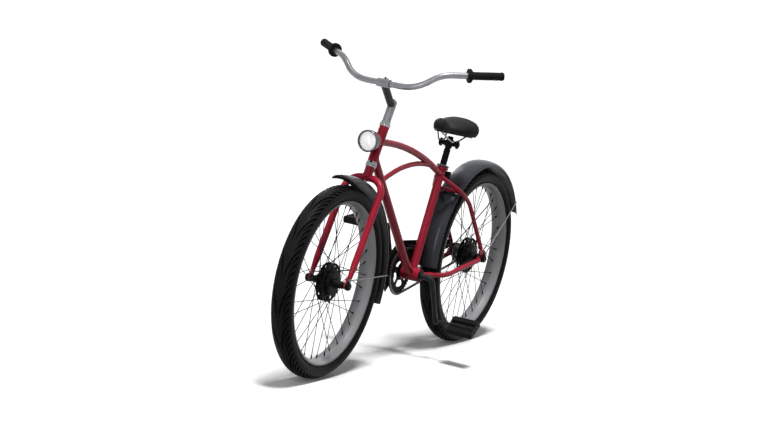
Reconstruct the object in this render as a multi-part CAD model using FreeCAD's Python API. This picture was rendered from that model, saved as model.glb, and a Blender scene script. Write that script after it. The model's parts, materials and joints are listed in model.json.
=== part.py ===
import FreeCAD, Part
import math
import os

os.makedirs("parts", exist_ok=True)

# Everything is in millimetres: +X forward, +Y to the rider's left, +Z up.
# The origin lies on the ground, midway between the two axles.

# wheels
TYRE_RADIUS = 350.0
TYRE_WIDTH = 80.0
WHEELBASE = 1164.0
RIM_EDGE_RADIUS = 297.0
RIM_WIDTH = 64.0
RIM_WELL_RADIUS = 278.0
RIM_WALL = 2.6
SPOKE_COUNT = 36
SPOKE_RADIUS = 1.4
SPOKE_CROSS_ANGLE = 60.0
NIPPLE_RADIUS = 2.6
NIPPLE_LENGTH = 14.0
FLANGE_RADIUS = 70.0
FLANGE_HOLE_RADIUS = 66.0
FLANGE_THICKNESS = 4.0
FLANGE_HALF_GAP = 10.0
DRUM_RADIUS = 46.0
DRUM_HALF_WIDTH = 24.0
WINDOW_COUNT = 12
WINDOW_PLACE = 55.5
WINDOW_RADIUS = 7.0
AXLE_RADIUS = 4.6
AXLE_CAP_RADIUS = 15.0
AXLE_CAP_LENGTH = 14.0

# steering
HEAD_ANGLE = 24.0
HEAD_POINT_X = 349.5
HEAD_POINT_Z = 834.0
FORK_LENGTH = 408.0
FORK_HALF_WIDTH = 75.0
FORK_BEND = 58.0
FORK_EYELET = 22.0
FORK_TUBE_RADIUS = 12.7
HEAD_TUBE_RADIUS = 18.0
HEAD_TUBE_BORE = 15.0
HEAD_TUBE_BOTTOM = 61.0
HEAD_TUBE_LENGTH = 137.0
HEADSET_RADIUS = 20.5
STEERER_RADIUS = 12.7
STEERER_BORE = 11.4
QUILL_RADIUS = 11.1
QUILL_LOW = 125.0
COLUMN_RADIUS = 15.4
COLUMN_TOP = 302.0
STEM_ARM_RADIUS = 14.0
STEM_ARM_HEIGHT = 280.0
STEM_CLAMP_RADIUS = 15.6
STEM_CLAMP_HALF = 25.0
BAR_RADIUS = 11.1
BAR_BEND = 130.0
BAR_CENTRE_X = 377.0
BAR_CENTRE_Z = 1059.0
BAR_FLAT_HALF = 124.0
BAR_KNEE = (330.0, 198.0, 1121.0)
BAR_END = (180.0, 367.0, 1143.0)
GRIP_LENGTH = 136.0
GRIP_RADIUS = 14.6
GRIP_FLANGE_RADIUS = 26.0

# frame tubes
TOP_TUBE_RADIUS = 12.7
DOWN_TUBE_RADIUS = 15.9
MID_TUBE_RADIUS = 9.5
SEAT_TUBE_RADIUS = 15.9
SEAT_TUBE_BORE = 13.0
CHAIN_STAY_RADIUS = 9.5
SEAT_STAY_RADIUS = 8.5
STAY_BEND = 200.0
BRIDGE_RADIUS = 7.0
SEAT_ANGLE = 17.5
SEAT_TUBE_LENGTH = 434.0
BRACKET_HEIGHT = 317.0
BRACKET_SHELL_RADIUS = 25.0
BRACKET_SHELL_BORE = 22.0
BRACKET_SHELL_WIDTH = 76.0
REAR_DROPOUT_INSIDE = 63.0
FRONT_TIP_INSIDE = 69.0
PLATE_THICKNESS = 6.0

# drive
CHAIN_PITCH = 12.7
CHAIN_LINKS = 108
CHAIN_LINE = 47.0
RING_TEETH = 44
RING_OPENINGS = 5
SPROCKET_TEETH = 18
TOOTH_THICKNESS = 2.8
ROLLER_RADIUS = 3.9
ROLLER_SEAT = 4.5
ROLLER_LENGTH = 3.4
LINK_PLATE = 1.0
LINK_HEIGHT = 4.3
CRANK_LENGTH = 175.0
CRANK_BACK_ANGLE = 18.0
CRANK_SPINDLE_RADIUS = 11.0
CRANK_ELBOW = 88.0
CRANK_EYE = 104.0
PEDAL_SPINDLE_RADIUS = 6.2
PEDAL_INSIDE = 166.0
PEDAL_LENGTH = 108.0
RIB_OFFSET = 3.7
RIB_GAP = 2.4
LEFT_PEDAL_TILT = 36.0
RIGHT_PEDAL_TILT = 4.0

# fenders
FENDER_RADIUS = 384.0
FENDER_EDGE_RADIUS = 367.0
FENDER_HALF_WIDTH = 46.0
FENDER_SHEET = 1.4
REAR_FENDER_FRONT = -2.0
REAR_FENDER_TAIL = 156.0
FRONT_FENDER_TIP = 90.0
FRONT_FENDER_TAIL = 197.0
STAY_WIRE = 2.5

# seat
POST_RADIUS = 12.7
POST_LENGTH = 300.0
POST_TOP = 522.0
POST_NECK_RADIUS = 11.0
SADDLE_BASE_Z = 872.0
SADDLE_BASE_X = -130.0
SADDLE_BASE_SLOPE = 0.133
SADDLE_PAN_THICKNESS = 4.0
SADDLE_PAN_GAP = 0.5
RAIL_RADIUS = 3.5
RAIL_HALF = 28.0
RAIL_Z = 825.0

# lamp
LAMP_RADIUS = 40.0
LAMP_FRONT_X = 443.0
LAMP_Z = 851.0

HALF_BASE = WHEELBASE / 2


def vec(x, y, z):
    return FreeCAD.Vector(x, y, z)


def unit(vector):
    return vector * (1.0 / vector.Length)


def polar(centre, radius, degrees, side=0.0):
    turn = math.radians(degrees)
    return centre + vec(radius * math.cos(turn), side, radius * math.sin(turn))


def rod(start, end, radius):
    return Part.makeCylinder(radius, (end - start).Length, start, end - start)


def cone(start, end, first, last):
    return Part.makeCone(first, last, (end - start).Length, start, end - start)


def hollow_rod(start, end, radius, bore):
    return rod(start, end, radius).cut(rod(start, end, bore))


def mirrored(shape):
    return shape.mirror(vec(0, 0, 0), vec(0, 1, 0))


def both_sides(shape):
    return [shape, mirrored(shape)]


# turned piece: the profile holds (radius, distance along the axis) pairs
def turned(origin, axis, profile):
    axis = unit(axis)
    helper = vec(0, 1, 0)
    if abs(axis.y) > 0.9:
        helper = vec(1, 0, 0)
    radial = unit(helper - axis * helper.dot(axis))
    points = [origin + radial * radius + axis * along for radius, along in profile]
    face = Part.Face(Part.makePolygon(points + [points[0]]))
    return face.revolve(origin, axis, 360)


def bent_path(points, radius):
    edges = []
    start = points[0]
    for before, corner, after in zip(points, points[1:], points[2:]):
        way_in = unit(corner - before)
        way_out = unit(after - corner)
        half_turn = way_in.getAngle(way_out) / 2
        setback = radius * math.tan(half_turn)
        first = corner - way_in * setback
        last = corner + way_out * setback
        lift = radius / math.cos(half_turn) - radius
        middle = corner + unit(way_out - way_in) * lift
        edges.append(Part.makeLine(start, first))
        edges.append(Part.Arc(first, middle, last).toShape())
        start = last
    edges.append(Part.makeLine(start, points[-1]))
    return Part.Wire(edges)


def arc_path(first, middle, last):
    return Part.Wire([Part.Arc(first, middle, last).toShape()])


def pipe(path, radius):
    edge = path.Edges[0]
    start = edge.valueAt(edge.FirstParameter)
    heading = edge.tangentAt(edge.FirstParameter)
    circle = Part.Wire([Part.makeCircle(radius, start, heading)])
    return path.makePipe(Part.Face(circle))


# square bar between two points, for the thin pieces that repeat often
def square_bar(start, end, half):
    way = unit(end - start)
    helper = vec(0, 1, 0)
    if abs(way.y) > 0.9:
        helper = vec(1, 0, 0)
    one = unit(way.cross(helper)) * half
    two = way.cross(one)
    corners = [start + one, start + two, start - one, start - two]
    return Part.Face(Part.makePolygon(corners + corners[:1])).extrude(end - start)


def largest(shape):
    return sorted(shape.Solids, key=lambda solid: -solid.Volume)[0]


# flat plate in the XZ plane between two Y positions
def plate(edges, low, high):
    face = Part.Face(Part.Wire(edges))
    face.translate(vec(0, low, 0))
    return face.extrude(vec(0, high - low, 0))


def chain_of_lines(points):
    return [Part.makeLine(a, b) for a, b in zip(points, points[1:] + points[:1])]


def save(name, shapes):
    shape = shapes
    if isinstance(shapes, list):
        shape = Part.makeCompound(shapes)
    shape.exportStep("parts/" + name + ".step")


front_axle_point = vec(HALF_BASE, 0, TYRE_RADIUS)
rear_axle_point = vec(-HALF_BASE, 0, TYRE_RADIUS)

# The steering line leans back; the crown is where the fork length meets it.
steer = vec(-math.sin(math.radians(HEAD_ANGLE)), 0, math.cos(math.radians(HEAD_ANGLE)))
head_point = vec(HEAD_POINT_X, 0, HEAD_POINT_Z)
to_head = head_point - front_axle_point
foot = front_axle_point + to_head - steer * to_head.dot(steer)
fork_rise = math.sqrt(FORK_LENGTH ** 2 - (foot - front_axle_point).Length ** 2)
crown = foot + steer * fork_rise
leg_up = unit(crown - front_axle_point)


def on_steer(distance):
    return crown + steer * distance


# The centre distance that gives the chain a whole number of pitches.
def pitch_radius(teeth):
    return CHAIN_PITCH / (2 * math.sin(math.pi / teeth))


ring_radius = pitch_radius(RING_TEETH)
sprocket_radius = pitch_radius(SPROCKET_TEETH)


def chain_stretches(distance):
    slope = math.asin((ring_radius - sprocket_radius) / distance)
    run = distance * math.cos(slope) / CHAIN_PITCH
    round_ring = (math.pi + 2 * slope) * RING_TEETH / (2 * math.pi)
    round_sprocket = (math.pi - 2 * slope) * SPROCKET_TEETH / (2 * math.pi)
    return slope, round_ring, run, round_sprocket


def centre_distance():
    low = 450.0
    high = 520.0
    for step in range(60):
        middle = (low + high) / 2
        slope, round_ring, run, round_sprocket = chain_stretches(middle)
        if round_ring + round_sprocket + 2 * run < CHAIN_LINKS:
            low = middle
        else:
            high = middle
    return low


drive_centres = centre_distance()
drop = TYRE_RADIUS - BRACKET_HEIGHT
bracket = vec(-HALF_BASE + math.sqrt(drive_centres ** 2 - drop ** 2), 0, BRACKET_HEIGHT)
seat_up = vec(-math.sin(math.radians(SEAT_ANGLE)), 0, math.cos(math.radians(SEAT_ANGLE)))


def on_seat(distance):
    return bracket + seat_up * distance


# Frame tubes: each one is mitred by the tubes it is welded to.
head_low = on_steer(HEAD_TUBE_BOTTOM)
head_high = on_steer(HEAD_TUBE_BOTTOM + HEAD_TUBE_LENGTH)
head_solid = rod(head_low, head_high, HEAD_TUBE_RADIUS)
shell_half = vec(0, BRACKET_SHELL_WIDTH / 2, 0)
shell_solid = rod(bracket - shell_half, bracket + shell_half, BRACKET_SHELL_RADIUS)
seat_solid = rod(on_seat(0), on_seat(SEAT_TUBE_LENGTH), SEAT_TUBE_RADIUS)

top_start = on_steer(139)
top_end = on_seat(396)
top_path = arc_path(top_start, vec(81, 0, 803), top_end)
top_solid = pipe(top_path, TOP_TUBE_RADIUS)

down_start = on_steer(80)
down_path = bent_path([down_start, bracket + vec(63, 0, 41), bracket], 200)
down_solid = pipe(down_path, DOWN_TUBE_RADIUS)

mid_path = arc_path(vec(270, 0, 700), vec(79, 0, 744), vec(-112, 0, 737))


def frame_tubes():
    save("head_tube", head_solid.cut(rod(head_low, head_high, HEAD_TUBE_BORE)))
    shell_bore = rod(bracket - shell_half, bracket + shell_half, BRACKET_SHELL_BORE)
    save("bottom_bracket_shell", shell_solid.cut(shell_bore))
    seat_bore = rod(on_seat(0), on_seat(SEAT_TUBE_LENGTH), SEAT_TUBE_BORE)
    save("seat_tube", seat_solid.cut(seat_bore).cut(shell_solid))
    save("top_tube", largest(top_solid.cut(head_solid).cut(seat_solid)))
    cup_room = rod(on_steer(HEAD_TUBE_BOTTOM - 20), head_low, HEADSET_RADIUS + 0.5)
    save("down_tube", largest(down_solid.cut([head_solid, cup_room, shell_solid, seat_solid])))
    middle = pipe(mid_path, MID_TUBE_RADIUS)
    save("cantilever_tube", largest(middle.cut(top_solid).cut(down_solid)))


# Dropout: a plate with an axle slot open to the rear and two eyelets.
def dropout():
    low = REAR_DROPOUT_INSIDE
    high = low + PLATE_THICKNESS
    outline = [polar(rear_axle_point, 19, 250), polar(rear_axle_point, 46, 352)]
    outline += [polar(rear_axle_point, 46, 8), polar(rear_axle_point, 24, 27)]
    outline += [polar(rear_axle_point, 46, 40), polar(rear_axle_point, 46, 58)]
    outline += [polar(rear_axle_point, 36, 100), polar(rear_axle_point, 34, 130)]
    outline += [polar(rear_axle_point, 27, 160), polar(rear_axle_point, 27, 205)]
    body = plate(chain_of_lines(outline), low, high)
    slot = rod(rear_axle_point, rear_axle_point + vec(0, 90, 0), 5.2)
    mouth = Part.makeBox(60, 90, 10.4, rear_axle_point + vec(-60, 0, -5.2))
    body = body.cut(slot).cut(mouth)
    for eyelet in (stay_eyelet, rack_eyelet):
        body = body.cut(rod(eyelet, eyelet + vec(0, 90, 0), 2.75))
    return body


bridge_place = vec(-306, 0, 632)
bridge_half = vec(0, 70, 0)
stay_eyelet = polar(rear_axle_point, 24, 128)
rack_eyelet = polar(rear_axle_point, 28, 100)


def rear_stays():
    plates = dropout()
    chain_route = [vec(bracket.x, 26, 319), vec(-193, 27, 311), vec(-278, 59, 306), vec(-557, 66, 345)]
    chain_stay = pipe(bent_path(chain_route, STAY_BEND), CHAIN_STAY_RADIUS)
    chain_stay = largest(chain_stay.cut(shell_solid).cut(plates))
    seat_route = [on_seat(388) + vec(4, 12, 0), vec(-303, 59, 633)]
    seat_route += [vec(-385, 63, 588), vec(-560, 66, 392)]
    stay_solid = pipe(bent_path(seat_route, STAY_BEND), SEAT_STAY_RADIUS)
    seat_stay = largest(stay_solid.cut(seat_solid).cut(top_solid).cut(plates))
    bridge = rod(bridge_place - bridge_half, bridge_place + bridge_half, BRIDGE_RADIUS)
    bridge = largest(bridge.cut(both_sides(stay_solid)))
    save("rear_dropouts", both_sides(plates))
    save("chain_stays", both_sides(chain_stay))
    save("seat_stays", both_sides(seat_stay) + [bridge])


def headset():
    low = HEAD_TUBE_BOTTOM
    high = HEAD_TUBE_BOTTOM + HEAD_TUBE_LENGTH
    inside = STEERER_RADIUS + 0.4
    outside = HEADSET_RADIUS
    lower = [(inside, low - 15), (outside, low - 15), (outside, low - 8), (outside - 2, low), (inside, low)]
    upper = [(inside, high), (outside - 2, high), (outside, high + 6)]
    upper += [(outside, high + 11), (inside, high + 11)]
    save("headset_bearings", [turned(crown, steer, lower), turned(crown, steer, upper)])
    race = hollow_rod(on_steer(low - 21), on_steer(low - 15.6), 19, STEERER_RADIUS)
    nut_base = on_steer(high + 11.6)
    flats = Part.makePolygon([polar(vec(0, 0, 0), 19.5, 60 * corner) for corner in range(7)])
    nut = Part.Face(flats).extrude(vec(0, 9, 0))
    nut.Placement = FreeCAD.Placement(nut_base, FreeCAD.Rotation(vec(0, 1, 0), steer))
    nut = nut.cut(rod(on_steer(high), on_steer(high + 30), STEERER_RADIUS))
    save("headset_nut_and_race", [nut, race])


# Fork: one tube bent into an arch, tapered legs, flat slotted tips.
def fork_place(side, along):
    return front_axle_point + leg_up * along + vec(0, side, 0)


fork_corners = [fork_place(FORK_HALF_WIDTH, 80), fork_place(FORK_HALF_WIDTH, FORK_LENGTH)]
fork_corners += [fork_place(-FORK_HALF_WIDTH, FORK_LENGTH), fork_place(-FORK_HALF_WIDTH, 80)]
fork_path = bent_path(fork_corners, FORK_BEND)
arch_solid = pipe(fork_path, FORK_TUBE_RADIUS)


def fork_tip():
    low = FRONT_TIP_INSIDE
    high = low + PLATE_THICKNESS
    across = vec(leg_up.z, 0, -leg_up.x)
    boss = rod(fork_place(low, 0), fork_place(high, 0), 14)
    corners = [fork_place(0, -4) + across * 12, fork_place(0, 44) + across * 7]
    corners += [fork_place(0, 44) - across * 7, fork_place(0, -4) - across * 12]
    tip = boss.fuse(plate(chain_of_lines(corners), low, high)).removeSplitter()
    slot = rod(fork_place(0, 0), fork_place(90, 0), 4.95)
    mouth = [fork_place(0, 0) + across * 4.95, fork_place(0, -40) + across * 4.95]
    mouth += [fork_place(0, -40) - across * 4.95, fork_place(0, 0) - across * 4.95]
    tip = tip.cut(slot).cut(plate(chain_of_lines(mouth), 0, 90))
    eyelet = fork_place(0, FORK_EYELET)
    return tip.cut(rod(eyelet, eyelet + vec(0, 90, 0), 2.75))


def fork():
    tip = fork_tip()
    taper = cone(fork_place(FORK_HALF_WIDTH, 30), fork_place(FORK_HALF_WIDTH, 80), 8.5, FORK_TUBE_RADIUS)
    legs = arch_solid.fuse(both_sides(taper)).cut(both_sides(tip))
    save("fork_arch", largest(legs.removeSplitter()))
    save("fork_tips", both_sides(tip))
    top = HEAD_TUBE_BOTTOM + HEAD_TUBE_LENGTH + 20.6
    boss = rod(on_steer(0), on_steer(HEAD_TUBE_BOTTOM - 21), 17)
    column = rod(on_steer(0), on_steer(top), STEERER_RADIUS)
    steerer = boss.fuse(column).cut(rod(on_steer(20), on_steer(top), STEERER_BORE))
    save("fork_steerer", largest(steerer.cut(arch_solid).removeSplitter()))


bar_centre = vec(BAR_CENTRE_X, 0, BAR_CENTRE_Z)
bar_flat = vec(BAR_CENTRE_X, BAR_FLAT_HALF, BAR_CENTRE_Z)
bar_knee = vec(*BAR_KNEE)
bar_end = vec(*BAR_END)
bar_out = unit(bar_end - bar_knee)


def flip(point):
    return vec(point.x, -point.y, point.z)


def bar_path():
    corners = [bar_end, bar_knee, bar_flat, flip(bar_flat), flip(bar_knee), flip(bar_end)]
    return bent_path(corners, BAR_BEND)


def stem():
    seat_height = HEAD_TUBE_BOTTOM + HEAD_TUBE_LENGTH + 20.6
    profile = [(0, QUILL_LOW), (QUILL_RADIUS, QUILL_LOW), (QUILL_RADIUS, seat_height)]
    profile += [(COLUMN_RADIUS, seat_height), (COLUMN_RADIUS, COLUMN_TOP - 3)]
    profile += [(COLUMN_RADIUS - 3, COLUMN_TOP), (0, COLUMN_TOP)]
    column = turned(crown, steer, profile)
    clamp_half = vec(0, STEM_CLAMP_HALF, 0)
    sleeve = rod(bar_centre - clamp_half, bar_centre + clamp_half, STEM_CLAMP_RADIUS)
    arm = rod(on_steer(STEM_ARM_HEIGHT), bar_centre, STEM_ARM_RADIUS)
    save("stem_quill", column)
    save("stem_arm", largest(arm.cut(column).cut(sleeve)))
    arm_out = unit(bar_centre - on_steer(STEM_ARM_HEIGHT))
    ear_way = unit(vec(-arm_out.z, 0, arm_out.x))
    bolt_way = vec(-ear_way.z, 0, ear_way.x)
    bolt_place = bar_centre + ear_way * 18
    side = vec(0, 9, 0)
    ear = rod(bar_centre + ear_way * 16 - side, bar_centre + ear_way * 16 + side, 6.5)
    bore = rod(bar_centre - clamp_half, bar_centre + clamp_half, BAR_RADIUS)
    split = Part.makeBox(40, 80, 2, vec(0, -40, -1))
    ear_turn = math.degrees(math.atan2(ear_way.z, ear_way.x))
    split.Placement = FreeCAD.Placement(bar_centre, FreeCAD.Rotation(vec(0, 1, 0), -ear_turn))
    bolt = rod(bolt_place - bolt_way * 12, bolt_place + bolt_way * 9, 3)
    save("stem_clamp", sleeve.fuse(ear).cut([bore, split, bolt]).removeSplitter())
    cap = rod(on_steer(COLUMN_TOP), on_steer(COLUMN_TOP + 5), 7)
    save("stem_bolts", [cap, bolt])


# Grip: a rubber sleeve with a thick inner flange and a closed end.
def grip():
    start = bar_end - bar_out * (GRIP_LENGTH - 4)
    profile = [(BAR_RADIUS, 0), (GRIP_FLANGE_RADIUS, 2), (GRIP_FLANGE_RADIUS, 14), (GRIP_RADIUS, 21)]
    profile += [(GRIP_RADIUS, GRIP_LENGTH - 4), (GRIP_RADIUS - 4, GRIP_LENGTH), (0, GRIP_LENGTH)]
    profile += [(0, GRIP_LENGTH - 4), (BAR_RADIUS, GRIP_LENGTH - 4)]
    return turned(start, bar_out, profile)


def handlebar():
    save("handlebar", pipe(bar_path(), BAR_RADIUS))
    save("grips", both_sides(grip()))


# Wheels
def both_edges(profile):
    return profile + [(radius, -side) for radius, side in profile[::-1]]


# Tyre: a hollow ring whose beads stand inside the rim.
def tyre(centre):
    half = TYRE_WIDTH / 2
    bead = RIM_EDGE_RADIUS - 6.8
    outside = [(bead, 26.5), (bead + 1.6, 28.6), (RIM_EDGE_RADIUS + 0.8, 29), (308, half - 1)]
    outside += [(322, half), (340, half - 8), (TYRE_RADIUS, 15)]
    inside = [(TYRE_RADIUS - 8, -12), (318, 5 - half), (bead + 2.3, -25.5)]
    return turned(centre, vec(0, 1, 0), both_edges(outside) + both_edges(inside[::-1]))


def rim_profile():
    half = RIM_WIDTH / 2
    shelf = RIM_EDGE_RADIUS - 6
    well = RIM_WELL_RADIUS
    outside = [(RIM_EDGE_RADIUS, half), (shelf, half), (well, 12)]
    inside = [(well + RIM_WALL, -12), (shelf, RIM_WALL - half), (RIM_EDGE_RADIUS, RIM_WALL - half)]
    return both_edges(outside) + both_edges(inside[::-1])


def spoke_ends(centre, number):
    rim_angle = number * 360.0 / SPOKE_COUNT
    side = 1 if number % 2 == 0 else -1
    lead = 1 if (number // 2) % 2 == 0 else -1
    face = side * (FLANGE_HALF_GAP + lead * FLANGE_THICKNESS / 2)
    lie = side * lead * (SPOKE_RADIUS + 0.6)
    hub_angle = rim_angle + lead * SPOKE_CROSS_ANGLE
    flange_end = polar(centre, FLANGE_HOLE_RADIUS, hub_angle, face)
    rim_end = polar(centre, RIM_WELL_RADIUS + 2, rim_angle, side * 2.5)
    return flange_end, flange_end + vec(0, lie, 0), rim_end


# A laced wheel: every spoke hooks on its flange and ends in a nipple at the rim.
def laced(centre):
    rim = turned(centre, vec(0, 1, 0), rim_profile())
    spokes = []
    for number in range(SPOKE_COUNT):
        flange_end, elbow, rim_end = spoke_ends(centre, number)
        way = unit(rim_end - elbow)
        nipple_end = rim_end - way * (NIPPLE_LENGTH + 2)
        nipple = square_bar(nipple_end, rim_end, NIPPLE_RADIUS).cut(rim)
        wire = square_bar(elbow - way * SPOKE_RADIUS, nipple_end, SPOKE_RADIUS)
        hook = square_bar(flange_end, elbow, SPOKE_RADIUS * 0.8)
        spokes.append(wire.fuse([largest(nipple), hook]))
    return rim, spokes


def flange_windows(hub, centre):
    cuts = []
    for number in range(WINDOW_COUNT):
        angle = (number + 0.5) * 360.0 / WINDOW_COUNT
        place = polar(centre, WINDOW_PLACE, angle)
        corners = [polar(place, WINDOW_RADIUS, angle + 60 * corner) for corner in range(6)]
        cuts.append(plate(chain_of_lines(corners), -20, 20))
    return hub.cut(cuts)


def hub_profile(bore, left_end, right_end):
    near = FLANGE_HALF_GAP + FLANGE_THICKNESS / 2
    far = FLANGE_HALF_GAP - FLANGE_THICKNESS / 2
    drum = DRUM_HALF_WIDTH
    middle = [(DRUM_RADIUS, drum), (DRUM_RADIUS, near), (FLANGE_RADIUS, near)]
    middle += [(FLANGE_RADIUS, far), (DRUM_RADIUS, far)]
    left = [(bore, left_end), (bore + 8, left_end), (bore + 10, drum)]
    right = [(bore + 10, -drum), (bore + 8, right_end), (bore, right_end)]
    return left + both_edges(middle) + right


# domed cap nut over a washer, on the outside of an axle plate
def axle_cap(centre, outside):
    dome = AXLE_CAP_RADIUS
    end = outside + AXLE_CAP_LENGTH
    profile = [(0, outside + 10), (AXLE_RADIUS, outside + 10), (AXLE_RADIUS, outside), (dome, outside)]
    profile += [(dome, end - 4), (dome - 4, end), (0, end)]
    return turned(centre, vec(0, 1, 0), profile)


# an axle with a step on each side, from the hub's end to the plate
def stepped_axle(centre, inside, left_end, right_end):
    end = inside + PLATE_THICKNESS + 10
    profile = [(0, -end), (AXLE_RADIUS, -end), (AXLE_RADIUS, -inside), (12, -inside), (12, right_end)]
    profile += [(AXLE_RADIUS, right_end), (AXLE_RADIUS, left_end), (12, left_end), (12, inside)]
    profile += [(AXLE_RADIUS, inside), (AXLE_RADIUS, end), (0, end)]
    axle = turned(centre, vec(0, 1, 0), profile)
    return [axle] + both_sides(axle_cap(centre, inside + PLATE_THICKNESS))


def front_wheel():
    centre = front_axle_point
    hub = turned(centre, vec(0, 1, 0), hub_profile(AXLE_RADIUS + 0.3, 58, -58))
    rim, spokes = laced(centre)
    save("front_tyre", tyre(centre))
    save("front_rim", rim)
    save("front_hub_and_spokes", [flange_windows(hub, centre)] + spokes)
    save("front_axle", stepped_axle(centre, FRONT_TIP_INSIDE, 58.6, -58.6))


def rear_wheel():
    centre = rear_axle_point
    hub = turned(centre, vec(0, 1, 0), hub_profile(AXLE_RADIUS + 0.3, 38, -32))
    rim, spokes = laced(centre)
    save("rear_tyre", tyre(centre))
    save("rear_rim", rim)
    save("rear_hub_and_spokes", [flange_windows(hub, centre)] + spokes)
    save("rear_axle", stepped_axle(centre, REAR_DROPOUT_INSIDE, 51, -56.6))


# The reaction arm of the coaster brake runs along the left chain stay.
def brake_arm():
    low = 44.0
    high = 47.0
    centre = rear_axle_point
    tip = vec(-442, 0, 326)
    along = unit(tip - centre)
    across = vec(-along.z, 0, along.x)
    edges = [Part.Arc(centre + across * 17, centre - along * 17, centre - across * 17).toShape()]
    edges.append(Part.makeLine(centre - across * 17, tip - across * 7))
    edges.append(Part.Arc(tip - across * 7, tip + along * 7, tip + across * 7).toShape())
    edges.append(Part.makeLine(tip + across * 7, centre + across * 17))
    arm = plate(edges, low, high)
    for place, size in ((centre, AXLE_RADIUS), (tip, 2.6)):
        arm = arm.cut(rod(place, place + vec(0, 60, 0), size))
    nut = hollow_rod(centre + vec(0, high, 0), centre + vec(0, 51, 0), 9, AXLE_RADIUS)
    dust_cap = hollow_rod(centre + vec(0, 38.6, 0), centre + vec(0, low, 0), 15, AXLE_RADIUS)
    save("coaster_brake", [arm, nut, dust_cap])


# One tooth gap after another: a seat for the roller, two flanks and a tip.
def toothed_outline(centre, teeth, first_angle):
    radius = pitch_radius(teeth)
    step = 360.0 / teeth
    tip_radius = radius + 2.6
    tip_half = math.degrees((CHAIN_PITCH / 2 - 1.3) / tip_radius)
    points = []
    for number in range(teeth):
        angle = first_angle + number * step
        roller = polar(centre, radius, angle)
        for lean in (-75, -25, 25, 75):
            points.append(polar(roller, ROLLER_SEAT, angle + 180 - lean))
        points.append(polar(centre, tip_radius, angle + tip_half))
        points.append(polar(centre, tip_radius, angle + step - tip_half))
    return chain_of_lines(points)


# Chain route: round the ring, along below, round the sprocket, back above.
forward = unit(bracket - rear_axle_point)
forward_angle = math.degrees(math.atan2(forward.z, forward.x))
chain_slope, ring_share, run_share, sprocket_share = chain_stretches(drive_centres)
leave_angle = 90 + math.degrees(chain_slope)


def chain_place(count):
    if count < ring_share:
        turn = forward_angle + leave_angle - count * 360.0 / RING_TEETH
        return polar(bracket, ring_radius, turn)
    count = count - ring_share
    if count < run_share:
        start = polar(bracket, ring_radius, forward_angle - leave_angle)
        end = polar(rear_axle_point, sprocket_radius, forward_angle - leave_angle)
        return start + (end - start) * (count / run_share)
    count = count - run_share
    if count < sprocket_share:
        turn = forward_angle - leave_angle - count * 360.0 / SPROCKET_TEETH
        return polar(rear_axle_point, sprocket_radius, turn)
    count = count - sprocket_share
    start = polar(rear_axle_point, sprocket_radius, forward_angle + leave_angle)
    end = polar(bracket, ring_radius, forward_angle + leave_angle)
    return start + (end - start) * (count / run_share)


def link_plate(low, high):
    half = CHAIN_PITCH / 2
    rise = LINK_HEIGHT
    corners = [vec(half, 0, rise), vec(half + rise, 0, 0), vec(half, 0, -rise)]
    corners += [vec(-half, 0, -rise), vec(-half - rise, 0, 0), vec(-half, 0, rise)]
    return plate(chain_of_lines(corners), low, high)


def inner_link():
    gap = ROLLER_LENGTH / 2
    link = link_plate(gap, gap + LINK_PLATE)
    pieces = [link_plate(-gap - LINK_PLATE, -gap)]
    for end in (-CHAIN_PITCH / 2, CHAIN_PITCH / 2):
        pieces.append(square_bar(vec(end, -gap, 0), vec(end, gap, 0), ROLLER_RADIUS))
    return link.fuse(pieces)


def outer_link():
    gap = ROLLER_LENGTH / 2 + LINK_PLATE
    return Part.makeCompound([link_plate(gap, gap + LINK_PLATE), link_plate(-gap - LINK_PLATE, -gap)])


def roller_chain():
    patterns = [inner_link(), outer_link()]
    links = []
    for number in range(CHAIN_LINKS):
        first = chain_place(number)
        last = chain_place((number + 1) % CHAIN_LINKS)
        middle = (first + last) * 0.5 + vec(0, -CHAIN_LINE, 0)
        way = last - first
        turn = -math.degrees(math.atan2(way.z, way.x))
        link = patterns[number % 2].copy()
        link.Placement = FreeCAD.Placement(middle, FreeCAD.Rotation(vec(0, 1, 0), turn))
        links.append(link)
    save("chain", links)


# A flat blade: two round ends of different size and their tangents.
def lobe(centre, angle, near, near_size, far, far_size):
    tilt = math.asin((far_size - near_size) / (far - near))
    rise_near = near - near_size * math.sin(tilt)
    rise_far = far - far_size * math.sin(tilt)
    out = unit(polar(centre, 1, angle) - centre)
    across = vec(-out.z, 0, out.x)
    wide_near = across * (near_size * math.cos(tilt))
    wide_far = across * (far_size * math.cos(tilt))
    edges = [Part.makeLine(centre + out * rise_near + wide_near, centre + out * rise_far + wide_far)]
    edges.append(Part.Arc(centre + out * rise_far + wide_far, centre + out * (far + far_size),
                          centre + out * rise_far - wide_far).toShape())
    edges.append(Part.makeLine(centre + out * rise_far - wide_far, centre + out * rise_near - wide_near))
    edges.append(Part.Arc(centre + out * rise_near - wide_near, centre + out * (near - near_size),
                          centre + out * rise_near + wide_near).toShape())
    return edges


# Opening in the chainring: part of a ring with round corners.
def ring_opening(angle, low, high):
    outer = 60.0
    inner = 34.0
    corners = [polar(bracket, outer, angle - 29), polar(bracket, outer, angle + 29)]
    corners += [polar(bracket, inner, angle + 21), polar(bracket, inner, angle - 21)]
    edges = [Part.Arc(corners[0], polar(bracket, outer, angle), corners[1]).toShape()]
    edges.append(Part.makeLine(corners[1], corners[2]))
    edges.append(Part.Arc(corners[2], polar(bracket, inner, angle), corners[3]).toShape())
    edges.append(Part.makeLine(corners[3], corners[0]))
    opening = plate(edges, low, high)
    upright = [edge for edge in opening.Edges if abs(edge.tangentAt(edge.FirstParameter).y) > 0.9]
    return opening.makeFillet(7, upright)


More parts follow.
